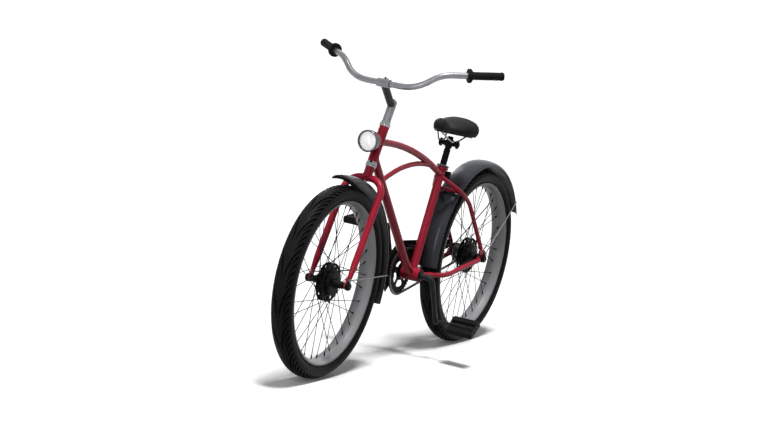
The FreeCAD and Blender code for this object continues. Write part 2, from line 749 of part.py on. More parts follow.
def drive_wheels():
    low = -CHAIN_LINE - TOOTH_THICKNESS / 2
    high = -CHAIN_LINE + TOOTH_THICKNESS / 2
    ring = plate(toothed_outline(bracket, RING_TEETH, forward_angle + leave_angle), low, high)
    cuts = []
    for number in range(RING_OPENINGS):
        cuts.append(ring_opening(270 + number * 360.0 / RING_OPENINGS, low - 5, high + 5))
    cuts.append(rod(bracket + vec(0, low - 5, 0), bracket + vec(0, high + 5, 0), CRANK_SPINDLE_RADIUS))
    save("chainring", ring.cut(cuts))
    seat_count = math.ceil(ring_share + run_share)
    past = seat_count - ring_share - run_share
    seat_angle = forward_angle - leave_angle - past * 360.0 / SPROCKET_TEETH
    cog = plate(toothed_outline(rear_axle_point, SPROCKET_TEETH, seat_angle), low, high)
    cog = cog.cut(rod(rear_axle_point + vec(0, low - 5, 0), rear_axle_point + vec(0, high + 5, 0), 17.5))
    bore = AXLE_RADIUS + 0.3
    driver = [(bore, -56), (14, -56), (17.5, -53), (17.5, -43), (19, -43), (19, -32.6), (bore, -32.6)]
    save("sprocket", [cog, turned(rear_axle_point, vec(0, 1, 0), driver)])


# One-piece crank: the spindle turns into the arms without a joint.
crank_angle = 270 - CRANK_BACK_ANGLE


def crank_arm(angle, side):
    elbow = bracket + vec(0, side * CRANK_ELBOW, 0)
    eye = polar(bracket, CRANK_LENGTH, angle, side * CRANK_EYE)
    blade = plate(lobe(vec(0, 0, 0), 0, 0, 12, CRANK_LENGTH, 14.5), -8, 8)
    blade.Placement = FreeCAD.Placement(elbow, FreeCAD.Rotation(vec(1, 0, 0), eye - elbow))
    return blade, eye


def cranks():
    reach = vec(0, CRANK_ELBOW + 4, 0)
    body = rod(bracket - reach, bracket + reach, CRANK_SPINDLE_RADIUS)
    left, left_eye = crank_arm(crank_angle, 1)
    right, right_eye = crank_arm(crank_angle + 180, -1)
    collar = rod(bracket + vec(0, -CHAIN_LINE - 7, 0), bracket + vec(0, -CHAIN_LINE - 1.4, 0), 20)
    body = body.fuse([left, right, collar])
    spindles = []
    end = PEDAL_INSIDE + PEDAL_LENGTH - CRANK_EYE - 7
    for eye, side in ((left_eye, 1), (right_eye, -1)):
        along = vec(0, side, 0)
        spindles.append(rod(eye - along * 9, eye + along * end, PEDAL_SPINDLE_RADIUS))
    save("crank", [body.cut(spindles).removeSplitter()] + spindles)
    pedal("left", left_eye, 1, LEFT_PEDAL_TILT)
    pedal("right", right_eye, -1, RIGHT_PEDAL_TILT)


# Pedal: a barrel with two end plates and two ribbed tread blocks.
def pedal(name, eye, side, tilt):
    low = min(side * PEDAL_INSIDE, side * (PEDAL_INSIDE + PEDAL_LENGTH))
    high = low + PEDAL_LENGTH
    barrel = rod(vec(0, low, 0), vec(0, high, 0), 10)
    ends = []
    for edge in (low, high - 5):
        corners = [vec(-40, 0, -9), vec(-40, 0, 9), vec(-30, 0, 12.5), vec(30, 0, 12.5)]
        corners += [vec(40, 0, 9), vec(40, 0, -9), vec(30, 0, -12.5), vec(-30, 0, -12.5)]
        ends.append(plate(chain_of_lines(corners), edge, edge + 5))
    inner = side * (PEDAL_INSIDE - 2)
    outer = side * (PEDAL_INSIDE + PEDAL_LENGTH - 5)
    bore = rod(vec(0, inner, 0), vec(0, outer, 0), PEDAL_SPINDLE_RADIUS + 0.3)
    body = barrel.fuse(ends).cut(bore)
    treads = []
    for centre in (-28, 28):
        block = [vec(centre - 11, 0, -11), vec(centre - 11, 0, 11), vec(centre - 8, 0, 13.5)]
        block += [vec(centre + 8, 0, 13.5), vec(centre + 11, 0, 11), vec(centre + 11, 0, -11)]
        block += [vec(centre + 8, 0, -13.5), vec(centre - 8, 0, -13.5)]
        tread = plate(chain_of_lines(block), low + 5, high - 5)
        cuts = []
        for offset in (-RIB_OFFSET, RIB_OFFSET):
            for level in (-15, 11):
                corner = vec(centre + offset - RIB_GAP / 2, low, level)
                cuts.append(Part.makeBox(RIB_GAP, PEDAL_LENGTH, 4, corner))
        treads.append(tread.cut(cuts))
    for shape in [body] + treads:
        shape.Placement = FreeCAD.Placement(vec(eye.x, 0, eye.z), FreeCAD.Rotation(vec(0, 1, 0), tilt))
    save(name + "_pedal_body", body.removeSplitter())
    save(name + "_pedal_treads", treads)


def bracket_bearings():
    start = vec(0, BRACKET_SHELL_WIDTH / 2, 0)
    end = start + vec(0, 3, 0)
    cup = hollow_rod(bracket + start, bracket + end, BRACKET_SHELL_RADIUS - 1.5, CRANK_SPINDLE_RADIUS + 0.4)
    save("bracket_bearings", both_sides(cup))


# Chain guard: a lobe round the chainring that runs back above the chain.
def chain_guard():
    low = -56.6
    high = -55.0
    outer = 117.0
    inner = 40.0
    tail_size = 17.0
    tail = chain_place(CHAIN_LINKS - 32.0)
    away = bracket - tail
    gap = away.Length
    base_angle = math.degrees(math.atan2(away.z, away.x))
    lean = math.degrees(math.asin((outer - tail_size) / gap))
    over = base_angle + 90 + lean
    under = 112.0
    start_angle = -38.0
    outer_start = polar(bracket, outer, start_angle)
    outer_end = polar(bracket, outer, over)
    tail_top = polar(tail, tail_size, over)
    tail_low = polar(tail, tail_size, over + 180)
    inner_end = polar(bracket, inner, under)
    inner_start = polar(bracket, inner, start_angle + 8)
    tail_back = tail - unit(away) * tail_size
    edges = [Part.Arc(outer_start, polar(bracket, outer, 30), outer_end).toShape()]
    edges.append(Part.makeLine(outer_end, tail_top))
    edges.append(Part.Arc(tail_top, tail_back, tail_low).toShape())
    edges.append(Part.makeLine(tail_low, inner_end))
    edges.append(Part.Arc(inner_end, polar(bracket, inner, 40), inner_start).toShape())
    edges.append(Part.makeLine(inner_start, outer_start))
    return plate(edges, low, high)


# The guard is bolted to a stud on the seat tube and a strap on the right stay.
def guard_and_clips():
    stud_place = on_seat(104)
    stud = rod(stud_place, stud_place - vec(0, 55, 0), 3.5)
    stud = stud.cut(rod(stud_place - seat_up * 30, stud_place + seat_up * 30, SEAT_TUBE_RADIUS))
    stay_place = vec(-480, -64.07, 334.23)
    stay_way = unit(vec(-279, -7, 39))
    loop = rod(stay_place - stay_way * 6, stay_place + stay_way * 6, CHAIN_STAY_RADIUS + 2.2)
    strap = Part.makeBox(12, 2, 58, vec(-486, -58.7, 334))
    stay_room = rod(stay_place - stay_way * 30, stay_place + stay_way * 30, CHAIN_STAY_RADIUS + 0.1)
    loop = loop.fuse(strap).cut(stay_room)
    save("chain_guard", [chain_guard(), largest(stud), loop.removeSplitter()])


# Fender: an arched sheet, swept round the axle.
def fender(centre, first, last):
    half = FENDER_HALF_WIDTH
    edge = FENDER_EDGE_RADIUS
    top = FENDER_RADIUS
    outside = [(edge, half), (edge + 9, half - 4), (top - 1, half - 24)]
    outside += [(top, 0)] + [(radius, -side) for radius, side in outside[::-1]]
    inside = [(radius - FENDER_SHEET, side * (1 - FENDER_SHEET / half)) for radius, side in outside[::-1]]
    points = [polar(centre, radius, first, side) for radius, side in outside + inside]
    face = Part.Face(Part.makePolygon(points + points[:1]))
    return face.revolve(centre, vec(0, -1, 0), last - first)


def wire_stay(start, end):
    eye = hollow_rod(start, start + vec(0, 7, 0), 6.5, 2.75)
    wire = rod(start + vec(0, 4.4, 0) + unit(end - start) * 5, end, STAY_WIRE)
    return eye.fuse(wire)


def fenders():
    rear = fender(rear_axle_point, REAR_FENDER_FRONT, REAR_FENDER_TAIL)
    chain_crossing = chain_place(CHAIN_LINKS - 9.5)
    notch = Part.makeBox(60, 40, 34, vec(chain_crossing.x - 30, -80, chain_crossing.z - 17))
    rear = rear.cut(notch)
    front = fender(front_axle_point, FRONT_FENDER_TIP, FRONT_FENDER_TAIL)
    save("rear_fender", rear)
    save("front_fender", front)
    stay_side = FENDER_HALF_WIDTH + STAY_WIRE
    start = vec(stay_eyelet.x, REAR_DROPOUT_INSIDE + PLATE_THICKNESS, stay_eyelet.z)
    end = polar(rear_axle_point, FENDER_EDGE_RADIUS, 146, stay_side)
    way = unit(bridge_place - rear_axle_point)
    boss = rod(bridge_place, rear_axle_point + way * (FENDER_RADIUS - 4), 5.5)
    boss = boss.cut(rod(bridge_place - bridge_half, bridge_place + bridge_half, BRIDGE_RADIUS))
    boss = boss.cut(rod(rear_axle_point - bridge_half, rear_axle_point + bridge_half, FENDER_RADIUS))
    save("rear_fender_mounts", both_sides(wire_stay(start, end)) + [largest(boss)])
    start = fork_place(FRONT_TIP_INSIDE + PLATE_THICKNESS, FORK_EYELET)
    end = polar(front_axle_point, FENDER_EDGE_RADIUS, 180, stay_side)
    boss = rod(fork_place(0, FENDER_RADIUS), fork_place(0, FORK_LENGTH), 6).cut(arch_solid)
    boss = boss.cut(rod(front_axle_point - bridge_half, front_axle_point + bridge_half, FENDER_RADIUS))
    save("front_fender_mounts", both_sides(wire_stay(start, end)) + [largest(boss)])


def seat_collar():
    low = on_seat(SEAT_TUBE_LENGTH - 20)
    high = on_seat(SEAT_TUBE_LENGTH)
    ring = rod(low, high, 19.5).fuse(rod(on_seat(SEAT_TUBE_LENGTH - 4), high, 23))
    turn = FreeCAD.Placement(high, FreeCAD.Rotation(vec(0, 1, 0), 180 - SEAT_ANGLE))
    ears = Part.makeBox(16, 18, 14, vec(15, -9, 2))
    gap = Part.makeBox(30, 2.4, 40, vec(10, -1.2, -8))
    for shape in (ears, gap):
        shape.Placement = turn
    body = ring.fuse(ears).cut(rod(low, high, SEAT_TUBE_RADIUS)).cut(gap)
    place = on_seat(SEAT_TUBE_LENGTH - 9) + vec(-seat_up.z, 0, seat_up.x) * 24.5
    bolt = rod(place - vec(0, 13, 0), place + vec(0, 13, 0), 4)
    save("seat_collar", [body.cut(bolt).removeSplitter(), bolt])


# Saddle: a padded cover on a pan, two rails and an old-style side clamp.
# each station: X, half width, top, and how far the underside lies above the pan
SADDLE_STATIONS = (
    (-118.0, 8.0, 893.0, 8.0),
    (-126.0, 16.0, 903.0, 3.0),
    (-145.0, 23.0, 910.0, 0.0),
    (-172.0, 27.0, 909.0, 0.0),
    (-210.0, 38.0, 901.0, 0.0),
    (-250.0, 60.0, 907.0, 0.0),
    (-295.0, 82.0, 912.0, 0.0),
    (-325.0, 87.0, 911.0, 0.0),
    (-350.0, 76.0, 903.0, 2.0),
    (-365.0, 52.0, 891.0, 10.0),
)


def pan_level(x):
    return SADDLE_BASE_Z + (x - SADDLE_BASE_X) * SADDLE_BASE_SLOPE


# the section has a crown, round shoulders and sides drawn in towards the pan
def saddle_section(x, half, high, lift):
    low = pan_level(x) + lift
    shape = [(0.84, 0), (0.97, 0.22), (1, 0.45), (0.92, 0.66), (0.7, 0.83), (0.36, 0.96)]
    left = [vec(x, half * wide, low + (high - low) * rise) for wide, rise in shape]
    points = left + [vec(x, 0, high)] + [flip(point) for point in left[::-1]]
    return Part.makePolygon(points + points[:1])


clamp_centre = on_seat(POST_TOP)


def saddle():
    cover = Part.makeLoft([saddle_section(*station) for station in SADDLE_STATIONS], True)
    save("saddle_cover", cover)
    seated = [station for station in SADDLE_STATIONS if station[3] == 0]
    left_edge = [vec(x, half * 0.8, pan_level(x) - SADDLE_PAN_GAP) for x, half, high, lift in seated]
    outline = left_edge + [flip(point) for point in left_edge[::-1]]
    pan = Part.Face(Part.makePolygon(outline + outline[:1])).extrude(vec(0, 0, -SADDLE_PAN_THICKNESS))
    save("saddle_pan", pan)
    route = [vec(-150, 7, pan_level(-150)), vec(-215, RAIL_HALF, RAIL_Z)]
    route += [vec(-272, RAIL_HALF, RAIL_Z), vec(-305, 42, pan_level(-305))]
    corners = [vec(-450, 0, pan_level(-450)), vec(0, 0, pan_level(0)), vec(0, 0, 1000), vec(-450, 0, 1000)]
    above = plate(chain_of_lines(corners), -200, 200)
    above.translate(vec(0, 0, -SADDLE_PAN_THICKNESS - SADDLE_PAN_GAP))
    save("saddle_rails", both_sides(pipe(bent_path(route, 12), RAIL_RADIUS).cut(above)))
    across = vec(0, 1, 0)
    core = rod(clamp_centre - across * 24, clamp_centre + across * 24, 10)
    core = core.fuse(rod(on_seat(POST_TOP - 16), on_seat(POST_TOP + 16), 14.5))
    core = core.cut(rod(on_seat(POST_TOP - 30), on_seat(POST_TOP + 30), POST_NECK_RADIUS))
    cheek = [(0, 24), (5, 24), (5, 32), (16, 32), (16, 37), (8, 37), (8, 42), (0, 42)]
    cheeks = both_sides(turned(clamp_centre, across, cheek))
    save("saddle_clamp", [core.removeSplitter()] + cheeks)
    bottom = POST_TOP - POST_LENGTH
    profile = [(POST_RADIUS - 2.2, bottom), (POST_RADIUS, bottom), (POST_RADIUS, POST_TOP - 26)]
    profile += [(POST_NECK_RADIUS, POST_TOP - 22), (POST_NECK_RADIUS, POST_TOP + 26), (0, POST_TOP + 26)]
    profile += [(0, POST_TOP - 40), (POST_RADIUS - 2.2, POST_TOP - 40)]
    save("seat_post", turned(bracket, seat_up, profile))


# Headlamp: a bullet bucket, a bezel, a lens, a reflector and a bulb.
def headlamp():
    front = vec(LAMP_FRONT_X, 0, LAMP_Z)
    back = vec(-1, 0, 0)
    wide = LAMP_RADIUS - 4
    shell = [(0, 75), (20, 68), (wide - 4, 50), (wide, 26), (wide, 15)]
    bucket = shell + [(33.6, 15), (20.4, 38.4), (0, 45.4)]
    bezel = [(wide + 0.2, 26), (38.5, 26), (LAMP_RADIUS, 6), (34, 0), (34, 3), (wide + 0.2, 9)]
    lens = [(0, 1), (20, 3), (34.6, 9), (34.6, 11.4), (19.6, 5.4), (0, 3.4)]
    dish = [(33.2, 14.6), (20, 38), (0, 45), (0, 44), (19, 37), (32, 14.6)]
    bulb = [(0, 27), (5, 31), (3, 42.6), (0, 43.6)]
    save("headlamp_bucket", turned(front, back, bucket))
    save("headlamp_bezel", turned(front, back, bezel))
    save("headlamp_lens", turned(front, back, lens))
    save("headlamp_reflector", [turned(front, back, dish), turned(front, back, bulb)])
    foot_place = on_steer((LAMP_Z - crown.z) / steer.z - 16)
    arm = rod(foot_place, vec(LAMP_FRONT_X - 55, 0, LAMP_Z - 20), 6)
    save("headlamp_bracket", largest(arm.cut([head_solid, turned(front, back, shell + [(0, 15)])])))


# Rear reflector on a short arm behind the seat tube, below the collar.
def rear_reflector():
    place = on_seat(SEAT_TUBE_LENGTH - 44)
    neck = Part.makeBox(32, 10, 6, vec(14, -5, 10))
    housing = Part.makeBox(9, 44, 34, vec(44, -22, -17))
    window = Part.makeBox(6, 38, 28, vec(49, -19, -14))
    turn = FreeCAD.Placement(place, FreeCAD.Rotation(vec(0, 0, 1), 180))
    for shape in (neck, housing, window):
        shape.Placement = turn
    body = neck.fuse(housing).cut([seat_solid, window])
    save("reflector_housing", largest(body.removeSplitter()))
    save("reflector_lens", window)


frame_tubes()
rear_stays()
headset()
fork()
stem()
handlebar()
front_wheel()
rear_wheel()
brake_arm()
drive_wheels()
roller_chain()
cranks()
bracket_bearings()
guard_and_clips()
fenders()
seat_collar()
saddle()
headlamp()
rear_reflector()
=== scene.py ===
import bpy
import bmesh
import json
import math
from mathutils import Matrix, Vector


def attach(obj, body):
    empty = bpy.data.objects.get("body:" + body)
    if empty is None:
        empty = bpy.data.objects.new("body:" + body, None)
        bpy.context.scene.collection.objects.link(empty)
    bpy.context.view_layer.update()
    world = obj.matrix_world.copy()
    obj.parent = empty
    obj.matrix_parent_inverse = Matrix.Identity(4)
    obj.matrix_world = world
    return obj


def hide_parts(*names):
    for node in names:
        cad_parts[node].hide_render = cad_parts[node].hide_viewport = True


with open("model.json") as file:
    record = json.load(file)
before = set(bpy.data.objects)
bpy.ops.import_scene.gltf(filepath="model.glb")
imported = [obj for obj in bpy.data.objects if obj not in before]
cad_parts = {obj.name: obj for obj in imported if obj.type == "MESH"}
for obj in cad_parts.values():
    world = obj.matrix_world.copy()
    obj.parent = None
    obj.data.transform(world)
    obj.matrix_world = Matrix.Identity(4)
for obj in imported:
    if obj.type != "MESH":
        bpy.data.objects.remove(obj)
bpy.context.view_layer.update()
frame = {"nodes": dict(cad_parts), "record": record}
nodes = frame["nodes"]
scene = bpy.context.scene
print("frame loaded:", len(nodes), "nodes")

# lengths below are in millimetres, as in the part's own drawing, and become metres in meshOf
frontAxle = Vector((582, 0, 350))
rearAxle = Vector((-582, 0, 350))
bracket = Vector((-97.0149, 0, 317))
crown = Vector((401.976, 0, 716.136))
steerWay = Vector((-0.406737, 0, 0.913545))
seatWay = Vector((-0.300706, 0, 0.953717))
sideways = Vector((0, 1, 0))
toMetres = 0.001


def setAll(thing, values):
    for key, value in values.items():
        setattr(thing, key, value)


class Socket:  # a node socket that can be used in sums
    def __init__(self, tree, socket=None):
        self.tree = tree
        self.socket = socket

    def node(self, kind, settings=None, sockets=None, out=0):
        made = self.tree.nodes.new(kind)
        setAll(made, settings or {})
        for key, value in (sockets or {}).items():
            if isinstance(value, Socket):
                self.tree.links.new(value.socket, made.inputs[key])
            else:
                made.inputs[key].default_value = value
        return Socket(self.tree, made.outputs[out] if made.outputs else None)

    def sum(self, operation, first, second):
        return self.node("ShaderNodeMath", {"operation": operation}, {0: first, 1: second})

    def __add__(self, other):
        return self.sum("ADD", self, other)

    __radd__ = __add__

    def __sub__(self, other):
        return self.sum("SUBTRACT", self, other)

    def __rsub__(self, other):
        return self.sum("SUBTRACT", other, self)

    def __mul__(self, other):
        return self.sum("MULTIPLY", self, other)

    __rmul__ = __mul__

    def __pow__(self, other):
        return self.sum("POWER", self, other)


def emptyTree(owner):  # a material or a world made ready for its nodes
    owner.use_nodes = True
    owner.node_tree.nodes.clear()
    return Socket(owner.node_tree)


def openFinish(name):
    material = bpy.data.materials.new(name)
    root = emptyTree(material)
    return material, root, root.node("ShaderNodeTexCoord", out="Object")


def noise(root, place, scale, detail=3.0, rough=0.5):
    sockets = {"Vector": place, "Scale": scale, "Detail": detail, "Roughness": rough}
    return root.node("ShaderNodeTexNoise", sockets=sockets)


def cells(root, place, scale, settings=None):
    sockets = {"Vector": place, "Scale": scale}
    return root.node("ShaderNodeTexVoronoi", settings, sockets, out="Distance")


def spread(root, value, low, high, start=0.3, end=0.7):  # a value stretched from start..end onto low..high
    return root.node("ShaderNodeMapRange", {}, {"Value": value, 1: start, 2: end, 3: low, 4: high})


def tint(root, factor, first, second):  # each colour is three numbers or a socket
    first, second = [shade if isinstance(shade, Socket) else (*shade, 1) for shade in (first, second)]
    return root.node("ShaderNodeMix", {"data_type": "RGBA"}, {0: factor, 6: first, 7: second}, out=2)


def closeFinish(material, root, sockets, height, distance, strength):
    bump = {"Height": height, "Distance": distance, "Strength": strength}
    sockets["Normal"] = root.node("ShaderNodeBump", sockets=bump)
    shader = root.node("ShaderNodeBsdfPrincipled", sockets=sockets)
    root.node("ShaderNodeOutputMaterial", sockets={"Surface": shader})
    return material


def candyRed():
    look = dict(deep=(0.25, 0.01, 0.024), light=(0.46, 0.021, 0.048), flake=2600.0)
    material, root, place = openFinish("candyRed")
    cloud = noise(root, place, 9.0, 4.0)
    flake = cells(root, place, look["flake"])
    shade = spread(root, cloud, 0.4, 0.6) + (0.5 - flake) * 0.4
    dust = noise(root, place, 60.0, 5.0, 0.6)
    colour = tint(root, shade, look["deep"], look["light"])
    rough = spread(root, dust, 0.26, 0.36) + flake * 0.05
    sockets = {"Base Color": colour, "Roughness": rough, "Metallic": 0.08, "Specular IOR Level": 0.06,
               "Coat Weight": 0.12, "Coat Roughness": 0.1, "Coat IOR": 1.4, "Coat Tint": (0.9, 0.75, 0.95, 1)}
    return closeFinish(material, root, sockets, noise(root, place, 500.0, 2.0), 0.0001, 0.06)  # orange peel


def slateGloss():
    look = dict(deep=(0.031, 0.034, 0.042), light=(0.043, 0.047, 0.057))
    material, root, place = openFinish("slateGloss")
    cloud = noise(root, place, 7.0, 5.0)
    dust = noise(root, place, 42.0, 6.0, 0.65)
    flake = cells(root, place, 2400.0)
    colour = tint(root, spread(root, cloud, 0.1, 0.9) * 0.8 + flake * 0.1, look["deep"], look["light"])
    rough = spread(root, dust, 0.25, 0.27)
    sockets = {"Base Color": colour, "Roughness": rough, "Specular IOR Level": 0.06, "Coat Weight": 0.13,
               "Coat Roughness": 0.07}
    return closeFinish(material, root, sockets, noise(root, place, 120.0, 1.0), 0.0001, 0.02)


def satinBlack():
    look = dict(deep=(0.004, 0.004, 0.0045), light=(0.011, 0.011, 0.012), worn=(0.035, 0.035, 0.038))
    material, root, place = openFinish("satinBlack")
    cloud = noise(root, place, 30.0, 5.0, 0.6)
    speck = spread(root, noise(root, place, 420.0, 4.0, 0.7), 0.0, 1.0)
    colour = tint(root, spread(root, cloud, 0.0, 1.0), look["deep"], look["light"])
    scuff = spread(root, speck * cloud, 0.0, 0.5, 0.42, 0.62)
    colour = tint(root, scuff, colour, look["worn"])
    rough = spread(root, cloud, 0.36, 0.48) + scuff * 0.15
    sockets = {"Base Color": colour, "Roughness": rough, "Specular IOR Level": 0.045}
    return closeFinish(material, root, sockets, noise(root, place, 900.0, 2.0), 0.0002, 0.15)


def ringDistance(root, place, centre):  # metres from a wheel's axle line
    parts = root.node("ShaderNodeSeparateXYZ", sockets={0: place})
    upward = Socket(root.tree, parts.socket.node.outputs[2])
    across = (parts - centre.x * toMetres) ** 2.0
    return (across + (upward - centre.z * toMetres) ** 2.0) ** 0.5


def polishedRim(name, centre):
    look = dict(deep=(0.27, 0.273, 0.285), light=(0.35, 0.353, 0.365))
    material, root, place = openFinish(name)
    reach = ringDistance(root, place, centre)
    lines = noise(root, root.node("ShaderNodeCombineXYZ", sockets={0: reach * 900.0}), 1.0, 3.0, 0.7)
    cloud = noise(root, place, 14.0, 4.0, 0.6)
    colour = tint(root, spread(root, lines, 0.2, 0.8) * 0.8 + cloud * 0.2, look["deep"], look["light"])
    rough = spread(root, lines, 0.36, 0.42) + spread(root, cloud, 0.0, 0.02)
    sockets = {"Base Color": colour, "Roughness": rough, "Metallic": 0.12, "Specular IOR Level": 0.06}
    return closeFinish(material, root, sockets, lines, 0.0001, 0.05)


def tyreRubber(name, centre):
    look = dict(deep=(0.0055, 0.0055, 0.006), light=(0.0105, 0.0105, 0.011), dusty=(0.02, 0.0195, 0.019),
                paintedGrooveShade=(0.0015, 0.0015, 0.0016))
    material, root, place = openFinish(name)
    reach = ringDistance(root, place, centre)
    cloud = noise(root, place, 38.0, 6.0, 0.65)
    grit = noise(root, place, 520.0, 4.0, 0.7)
    colour = tint(root, spread(root, cloud, 0.0, 1.0), look["deep"], look["light"])
    sole = spread(root, reach, 0.0, 0.5, 0.342, 0.351)
    dust = sole * spread(root, grit, 0.0, 1.0)
    colour = tint(root, dust, colour, look["dusty"])
    hollow = root.node("ShaderNodeAttribute", {"attribute_name": "hollow"}, out="Fac")
    # the faces in the grooves are tinted much darker: painted shade in the recesses
    colour = tint(root, hollow, colour, look["paintedGrooveShade"])
    rough = spread(root, cloud, 0.42, 0.52) + dust * 0.2 + hollow * 0.3
    sockets = {"Base Color": colour, "Roughness": rough, "Specular IOR Level": 0.045}
    return closeFinish(material, root, sockets, grit, 0.0002, 0.15)


def brightMetal(name, deep, light, rough, grain=(1.0, 1.0, 1.0)):
    material, root, place = openFinish(name)
    stretched = root.node("ShaderNodeMapping", sockets={"Vector": place, "Scale": grain})
    lines = noise(root, stretched, 260.0, 4.0, 0.7)
    cloud = noise(root, place, 22.0, 5.0, 0.6)
    colour = tint(root, spread(root, cloud, 0.0, 1.0), deep, light)
    wear = spread(root, lines, rough[0], rough[1]) + spread(root, cloud, 0.0, 0.05)
    sockets = {"Base Color": colour, "Roughness": wear, "Metallic": 1.0}
    return closeFinish(material, root, sockets, lines, 0.0001, 0.08)


def mattGrey(name, deep, light):
    material, root, place = openFinish(name)
    cloud = noise(root, place, 26.0, 5.0)
    grain = noise(root, place, 800.0, 3.0, 0.7)
    colour = tint(root, spread(root, cloud, 0.0, 0.7) + grain * 0.3, deep, light)
    sockets = {"Base Color": colour, "Roughness": spread(root, grain, 0.42, 0.56), "Metallic": 0.12,
               "Specular IOR Level": 0.08}
    return closeFinish(material, root, sockets, grain, 0.0002, 0.3)


def mouldedRubber(name, deep, light, rough, scale):
    material, root, place = openFinish(name)
    cloud = noise(root, place, 45.0, 5.0, 0.6)
    grain = cells(root, place, scale)
    colour = tint(root, spread(root, cloud, 0.0, 1.0), deep, light)
    wear = spread(root, cloud, rough[0], rough[1]) + grain * 0.06
    sockets = {"Base Color": colour, "Roughness": wear, "Specular IOR Level": 0.045}
    return closeFinish(material, root, sockets, grain, 0.0003, 0.3)


def grainedVinyl():
    look = dict(deep=(0.012, 0.012, 0.0132), light=(0.022, 0.022, 0.0242), grain=620.0)
    material, root, place = openFinish("grainedVinyl")
    warp = noise(root, place, 90.0, 3.0)
    bent = root.node("ShaderNodeMix", {"data_type": "VECTOR"}, {0: 0.004, 4: place, 5: warp}, out=1)
    pebble = cells(root, bent, look["grain"])
    crease = cells(root, place, look["grain"] * 0.45, {"feature": "DISTANCE_TO_EDGE"})
    fold = spread(root, crease, 0.0, 1.0, 0.0, 0.12)
    cloud = noise(root, place, 18.0, 5.0, 0.6)
    shade = spread(root, cloud, 0.1, 0.7) + pebble * 0.35
    colour = tint(root, shade, look["deep"], look["light"])
    rough = spread(root, cloud, 0.46, 0.6) + pebble * 0.1
    sockets = {"Base Color": colour, "Roughness": rough, "Specular IOR Level": 0.06, "Sheen Weight": 0.05,
               "Sheen Roughness": 0.4}
    return closeFinish(material, root, sockets, fold * 0.6 + (1 - pebble) * 0.4, 0.0004, 0.5)


def clearGlassPaintedGlow():
    material, root, place = openFinish("clearGlassPaintedGlow")
    haze = noise(root, place, 60.0, 4.0)
    colour = tint(root, haze, (0.9, 0.93, 0.94), (0.98, 0.985, 0.98))
    # the white emission is painted light: a glow that brightens the lens
    sockets = {"Base Color": colour, "Roughness": spread(root, haze, 0.06, 0.1),
               "Alpha": spread(root, haze, 0.4, 0.5), "Emission Color": (1, 1, 1, 1),
               "Emission Strength": 0.42}
    return closeFinish(material, root, sockets, haze, 0.0001, 0.03)


def redPrism():
    material, root, place = openFinish("redPrism")
    facet = cells(root, place, 420.0, {"distance": "CHEBYCHEV"})
    # each facet is lighter red in its middle and darker towards its edges
    colour = tint(root, facet, (0.55, 0.012, 0.012), (0.24, 0.003, 0.004))
    sockets = {"Base Color": colour, "Roughness": spread(root, facet, 0.1, 0.22), "Coat Weight": 1.0,
               "Coat Roughness": 0.03}
    return closeFinish(material, root, sockets, facet, 0.0012, 0.7)


finishes = {
    "frame_paint": candyRed(),
    "fender_paint": slateGloss(),
    "black_metal": satinBlack(),
    "rim_metal": polishedRim("polishedRimFront", frontAxle),
    "tyre_rubber": tyreRubber("tyreRubberFront", frontAxle),
    "bright_chrome": brightMetal("brightChrome", (0.2, 0.204, 0.212), (0.28, 0.284, 0.292), (0.16, 0.22)),
    "bar_alloy": brightMetal("barAlloy", (0.16, 0.163, 0.172), (0.22, 0.223, 0.233), (0.3, 0.36),
                             (6.0, 1.0, 6.0)),
    "stem_grey": mattGrey("stemGrey", (0.05, 0.05, 0.053), (0.085, 0.085, 0.089)),
    "stay_steel": brightMetal("stayWire", (0.13, 0.13, 0.134), (0.21, 0.21, 0.214), (0.25, 0.4)),
    "chain_steel": brightMetal("oiledSteel", (0.07, 0.068, 0.065), (0.2, 0.195, 0.19), (0.26, 0.42)),
    "grip_rubber": mouldedRubber("gripRubber", (0.007, 0.007, 0.0075), (0.018, 0.018, 0.019), (0.5, 0.66),
                                 900.0),
    "saddle_vinyl": grainedVinyl(),
    "black_plastic": mouldedRubber("blackPlastic", (0.01, 0.01, 0.011), (0.024, 0.024, 0.026), (0.36, 0.5),
                                   1500.0),
    "pedal_rubber": mouldedRubber("pedalRubber", (0.01, 0.01, 0.0105), (0.02, 0.02, 0.021), (0.52, 0.68),
                                  1100.0),
    "lamp_glass": clearGlassPaintedGlow(),
    "red_lens": redPrism(),
}
crankGrey = mattGrey("crankGrey", (0.016, 0.016, 0.017), (0.03, 0.03, 0.032))
# a darker copy of the chrome, for the lamp bezel and the collar flange: painted shade on chrome parts
paintedShadeChrome = brightMetal("paintedShadeChrome", (0.05, 0.052, 0.056), (0.1, 0.103, 0.108), (0.18, 0.26))
silvering = brightMetal("silvering", (0.8, 0.81, 0.82), (0.9, 0.91, 0.92), (0.34, 0.42))
rearRimFinish = polishedRim("polishedRimRear", rearAxle)
rearTyreFinish = tyreRubber("tyreRubberRear", rearAxle)
for part in frame["record"]["subparts"]:  # every carried-over node gets its finish
    coats = nodes[part["node"]].data.materials
    coats.clear()
    coats.append(finishes[part["material_slot"]])
print("finishes ready:", len(finishes) + 5)


def linked(name, data):
    made = bpy.data.objects.new(name, data)
    scene.collection.objects.link(made)
    return made


def meshOf(name, bm, size=toMetres):
    bmesh.ops.scale(bm, vec=[size] * 3, verts=bm.verts)
    mesh = bpy.data.meshes.new(name)
    bm.to_mesh(mesh)
    bm.free()
    return mesh


def addPiece(name, bm, slotName, body, stands=(), sharp=40, finish=None):
    mesh = meshOf(name, bm)
    mesh.polygons.foreach_set("use_smooth", [True] * len(mesh.polygons))
    mesh.set_sharp_from_angle(angle=math.radians(sharp))
    mesh.materials.append(finish or finishes[slotName])
    piece = linked(name, mesh)
    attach(piece, body)
    if stands:
        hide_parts(*stands)
    return piece


def outward(bm):
    bmesh.ops.recalc_face_normals(bm, faces=bm.faces)


def only(made, kind):
    return [item for item in made if isinstance(item, kind)]


